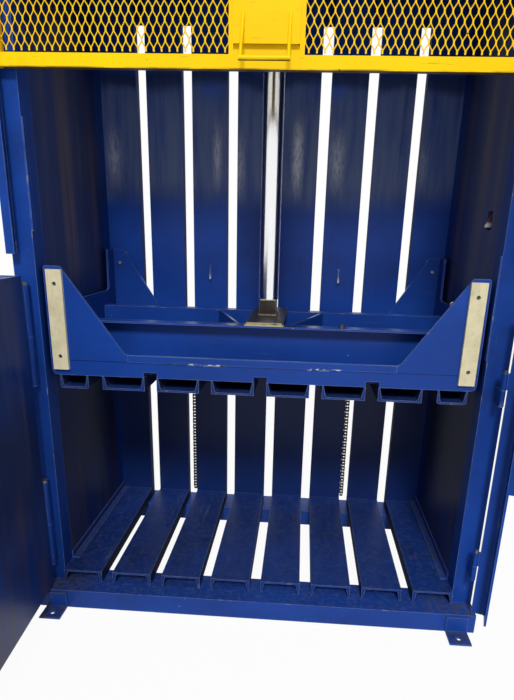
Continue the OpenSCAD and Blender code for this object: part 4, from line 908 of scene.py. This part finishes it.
def rod_block_weld():
    """Beads where the rod's block meets its plate, on all four sides."""
    (x0, y0, z), (x1, y1, _) = box_mm("rod_block")
    body = Solid()
    for a, b, out in (((x0, y0, z), (x1, y0, z), (0, -1, 0)),
                      ((x0, y1, z), (x1, y1, z), (0, 1, 0)),
                      ((x0, y0, z), (x0, y1, z), (-1, 0, 0)),
                      ((x1, y0, z), (x1, y1, z), (1, 0, 0))):
        bead(body, a, b, out, (0, 0, 1))
    body.made("rod_block_weld", weld_metal, "platen", "greasy_steel", True)


# Small screws and locks

TANK_SCREW, TERMINAL_SCREW = 6, 4
TANK_MARGIN = 10
TERMINAL_ACROSS, TERMINAL_DEPTHS = 38, (-50, 40)
LOCK_INSET, LOCK_MARGIN = 26, 70
LOCK_PROFILE = ((0, 11), (2.5, 11), (3.5, 10), (3.5, 7.5), (2.2, 7), (2.2, 1))


def screws(name, spots, size):
    """Hexagon screws with washers, of size millimetres, standing on a level face at each spot."""
    up = Vector((0, 0, 1))
    made = Solid()
    for i, spot in enumerate(spots):
        made.turned(spot, up, [(0, size * 1.05), (size * 0.16, size * 1.05),
                               (size * 0.2, size * 0.98)])
        made.turned(Vector(spot) + up * size * 0.2, up,
                    [(0, size * 0.86), (size * 0.55, size * 0.86), (size * 0.66, size * 0.7)],
                    6, 0.13 * i)
    made.made(name, steel, "frame", "bare_steel")


def tank_screws():
    """Screws round the lid of the oil tank."""
    (x0, y0, _), (x1, y1, top) = box_mm("oil_tank")
    depths = (y0 + TANK_MARGIN, y1 - TANK_MARGIN, (y0 + y1) / 2)
    spots = [(x, y, top) for y in depths for x in (x0 + TANK_MARGIN, x1 - TANK_MARGIN)]
    screws("tank_lid_screws", spots, TANK_SCREW)


def terminal_screws():
    """Screws of the lid of the motor's terminal box."""
    (x0, _, _), (x1, _, top) = box_mm("drive_motor")
    middle = (x0 + x1) / 2
    spots = [(middle + side * TERMINAL_ACROSS, y, top)
             for side in (-1, 1) for y in TERMINAL_DEPTHS]
    screws("terminal_box_screws", spots, TERMINAL_SCREW)


def box_locks():
    """Two slotted quarter-turn locks on the control box's door."""
    (x0, y, z0), (_, _, z1) = box_mm("control_door")
    x = x0 + LOCK_INSET
    lock = Solid()
    for z in (z0 + LOCK_MARGIN, z1 - LOCK_MARGIN):
        lock.turned((x, y, z), (0, -1, 0), LOCK_PROFILE, 32)
        lock.box((x - 1.2, y - 3.4, z - 6.5), (x + 1.2, y - 2, z + 6.5), 0.3)
    lock.made("box_door_locks", steel, "box_door", "bare_steel")


gate_mesh()
rod_block_weld()
tank_screws()
terminal_screws()
box_locks()


# Studio

FLOOR_REACH = 30
FLOOR_WHITE = 0.95


def studio():
    """A wide pale floor that stays white to the camera and keeps a soft shadow."""
    r = FLOOR_REACH
    data = bpy.data.meshes.new("studio_floor")
    data.from_pydata([(-r, -r, 0), (r, -r, 0), (r, r, 0), (-r, r, 0)], [], [(0, 1, 2, 3)])
    floor = bpy.data.objects.new("studio_floor", data)
    bpy.context.scene.collection.objects.link(floor)
    material = bpy.data.materials.new("studio_floor")
    material.use_nodes = True
    tree = material.node_tree
    tree.nodes.clear()
    share = tree.nodes.new("ShaderNodeMath")
    share.operation = "MULTIPLY"
    share.inputs[1].default_value = FLOOR_WHITE
    tree.links.new(seen_directly(tree), share.inputs[0])
    matt = tree.nodes.new("ShaderNodeBsdfDiffuse")
    matt.inputs["Color"].default_value = (0.8, 0.8, 0.8, 1)
    glow = tree.nodes.new("ShaderNodeEmission")
    glow.inputs["Strength"].default_value = 1
    both = tree.nodes.new("ShaderNodeMixShader")
    tree.links.new(share.outputs[0], both.inputs[0])
    tree.links.new(matt.outputs[0], both.inputs[1])
    tree.links.new(glow.outputs[0], both.inputs[2])
    out = tree.nodes.new("ShaderNodeOutputMaterial")
    tree.links.new(both.outputs[0], out.inputs["Surface"])
    data.materials.append(material)


place_camera()
light_world(AMBIENT)
sun("key", KEY_AZIMUTH, KEY_ELEVATION, KEY_STRENGTH, KEY_SPREAD)
studio()

bpy.context.scene.view_settings.view_transform = "Standard"
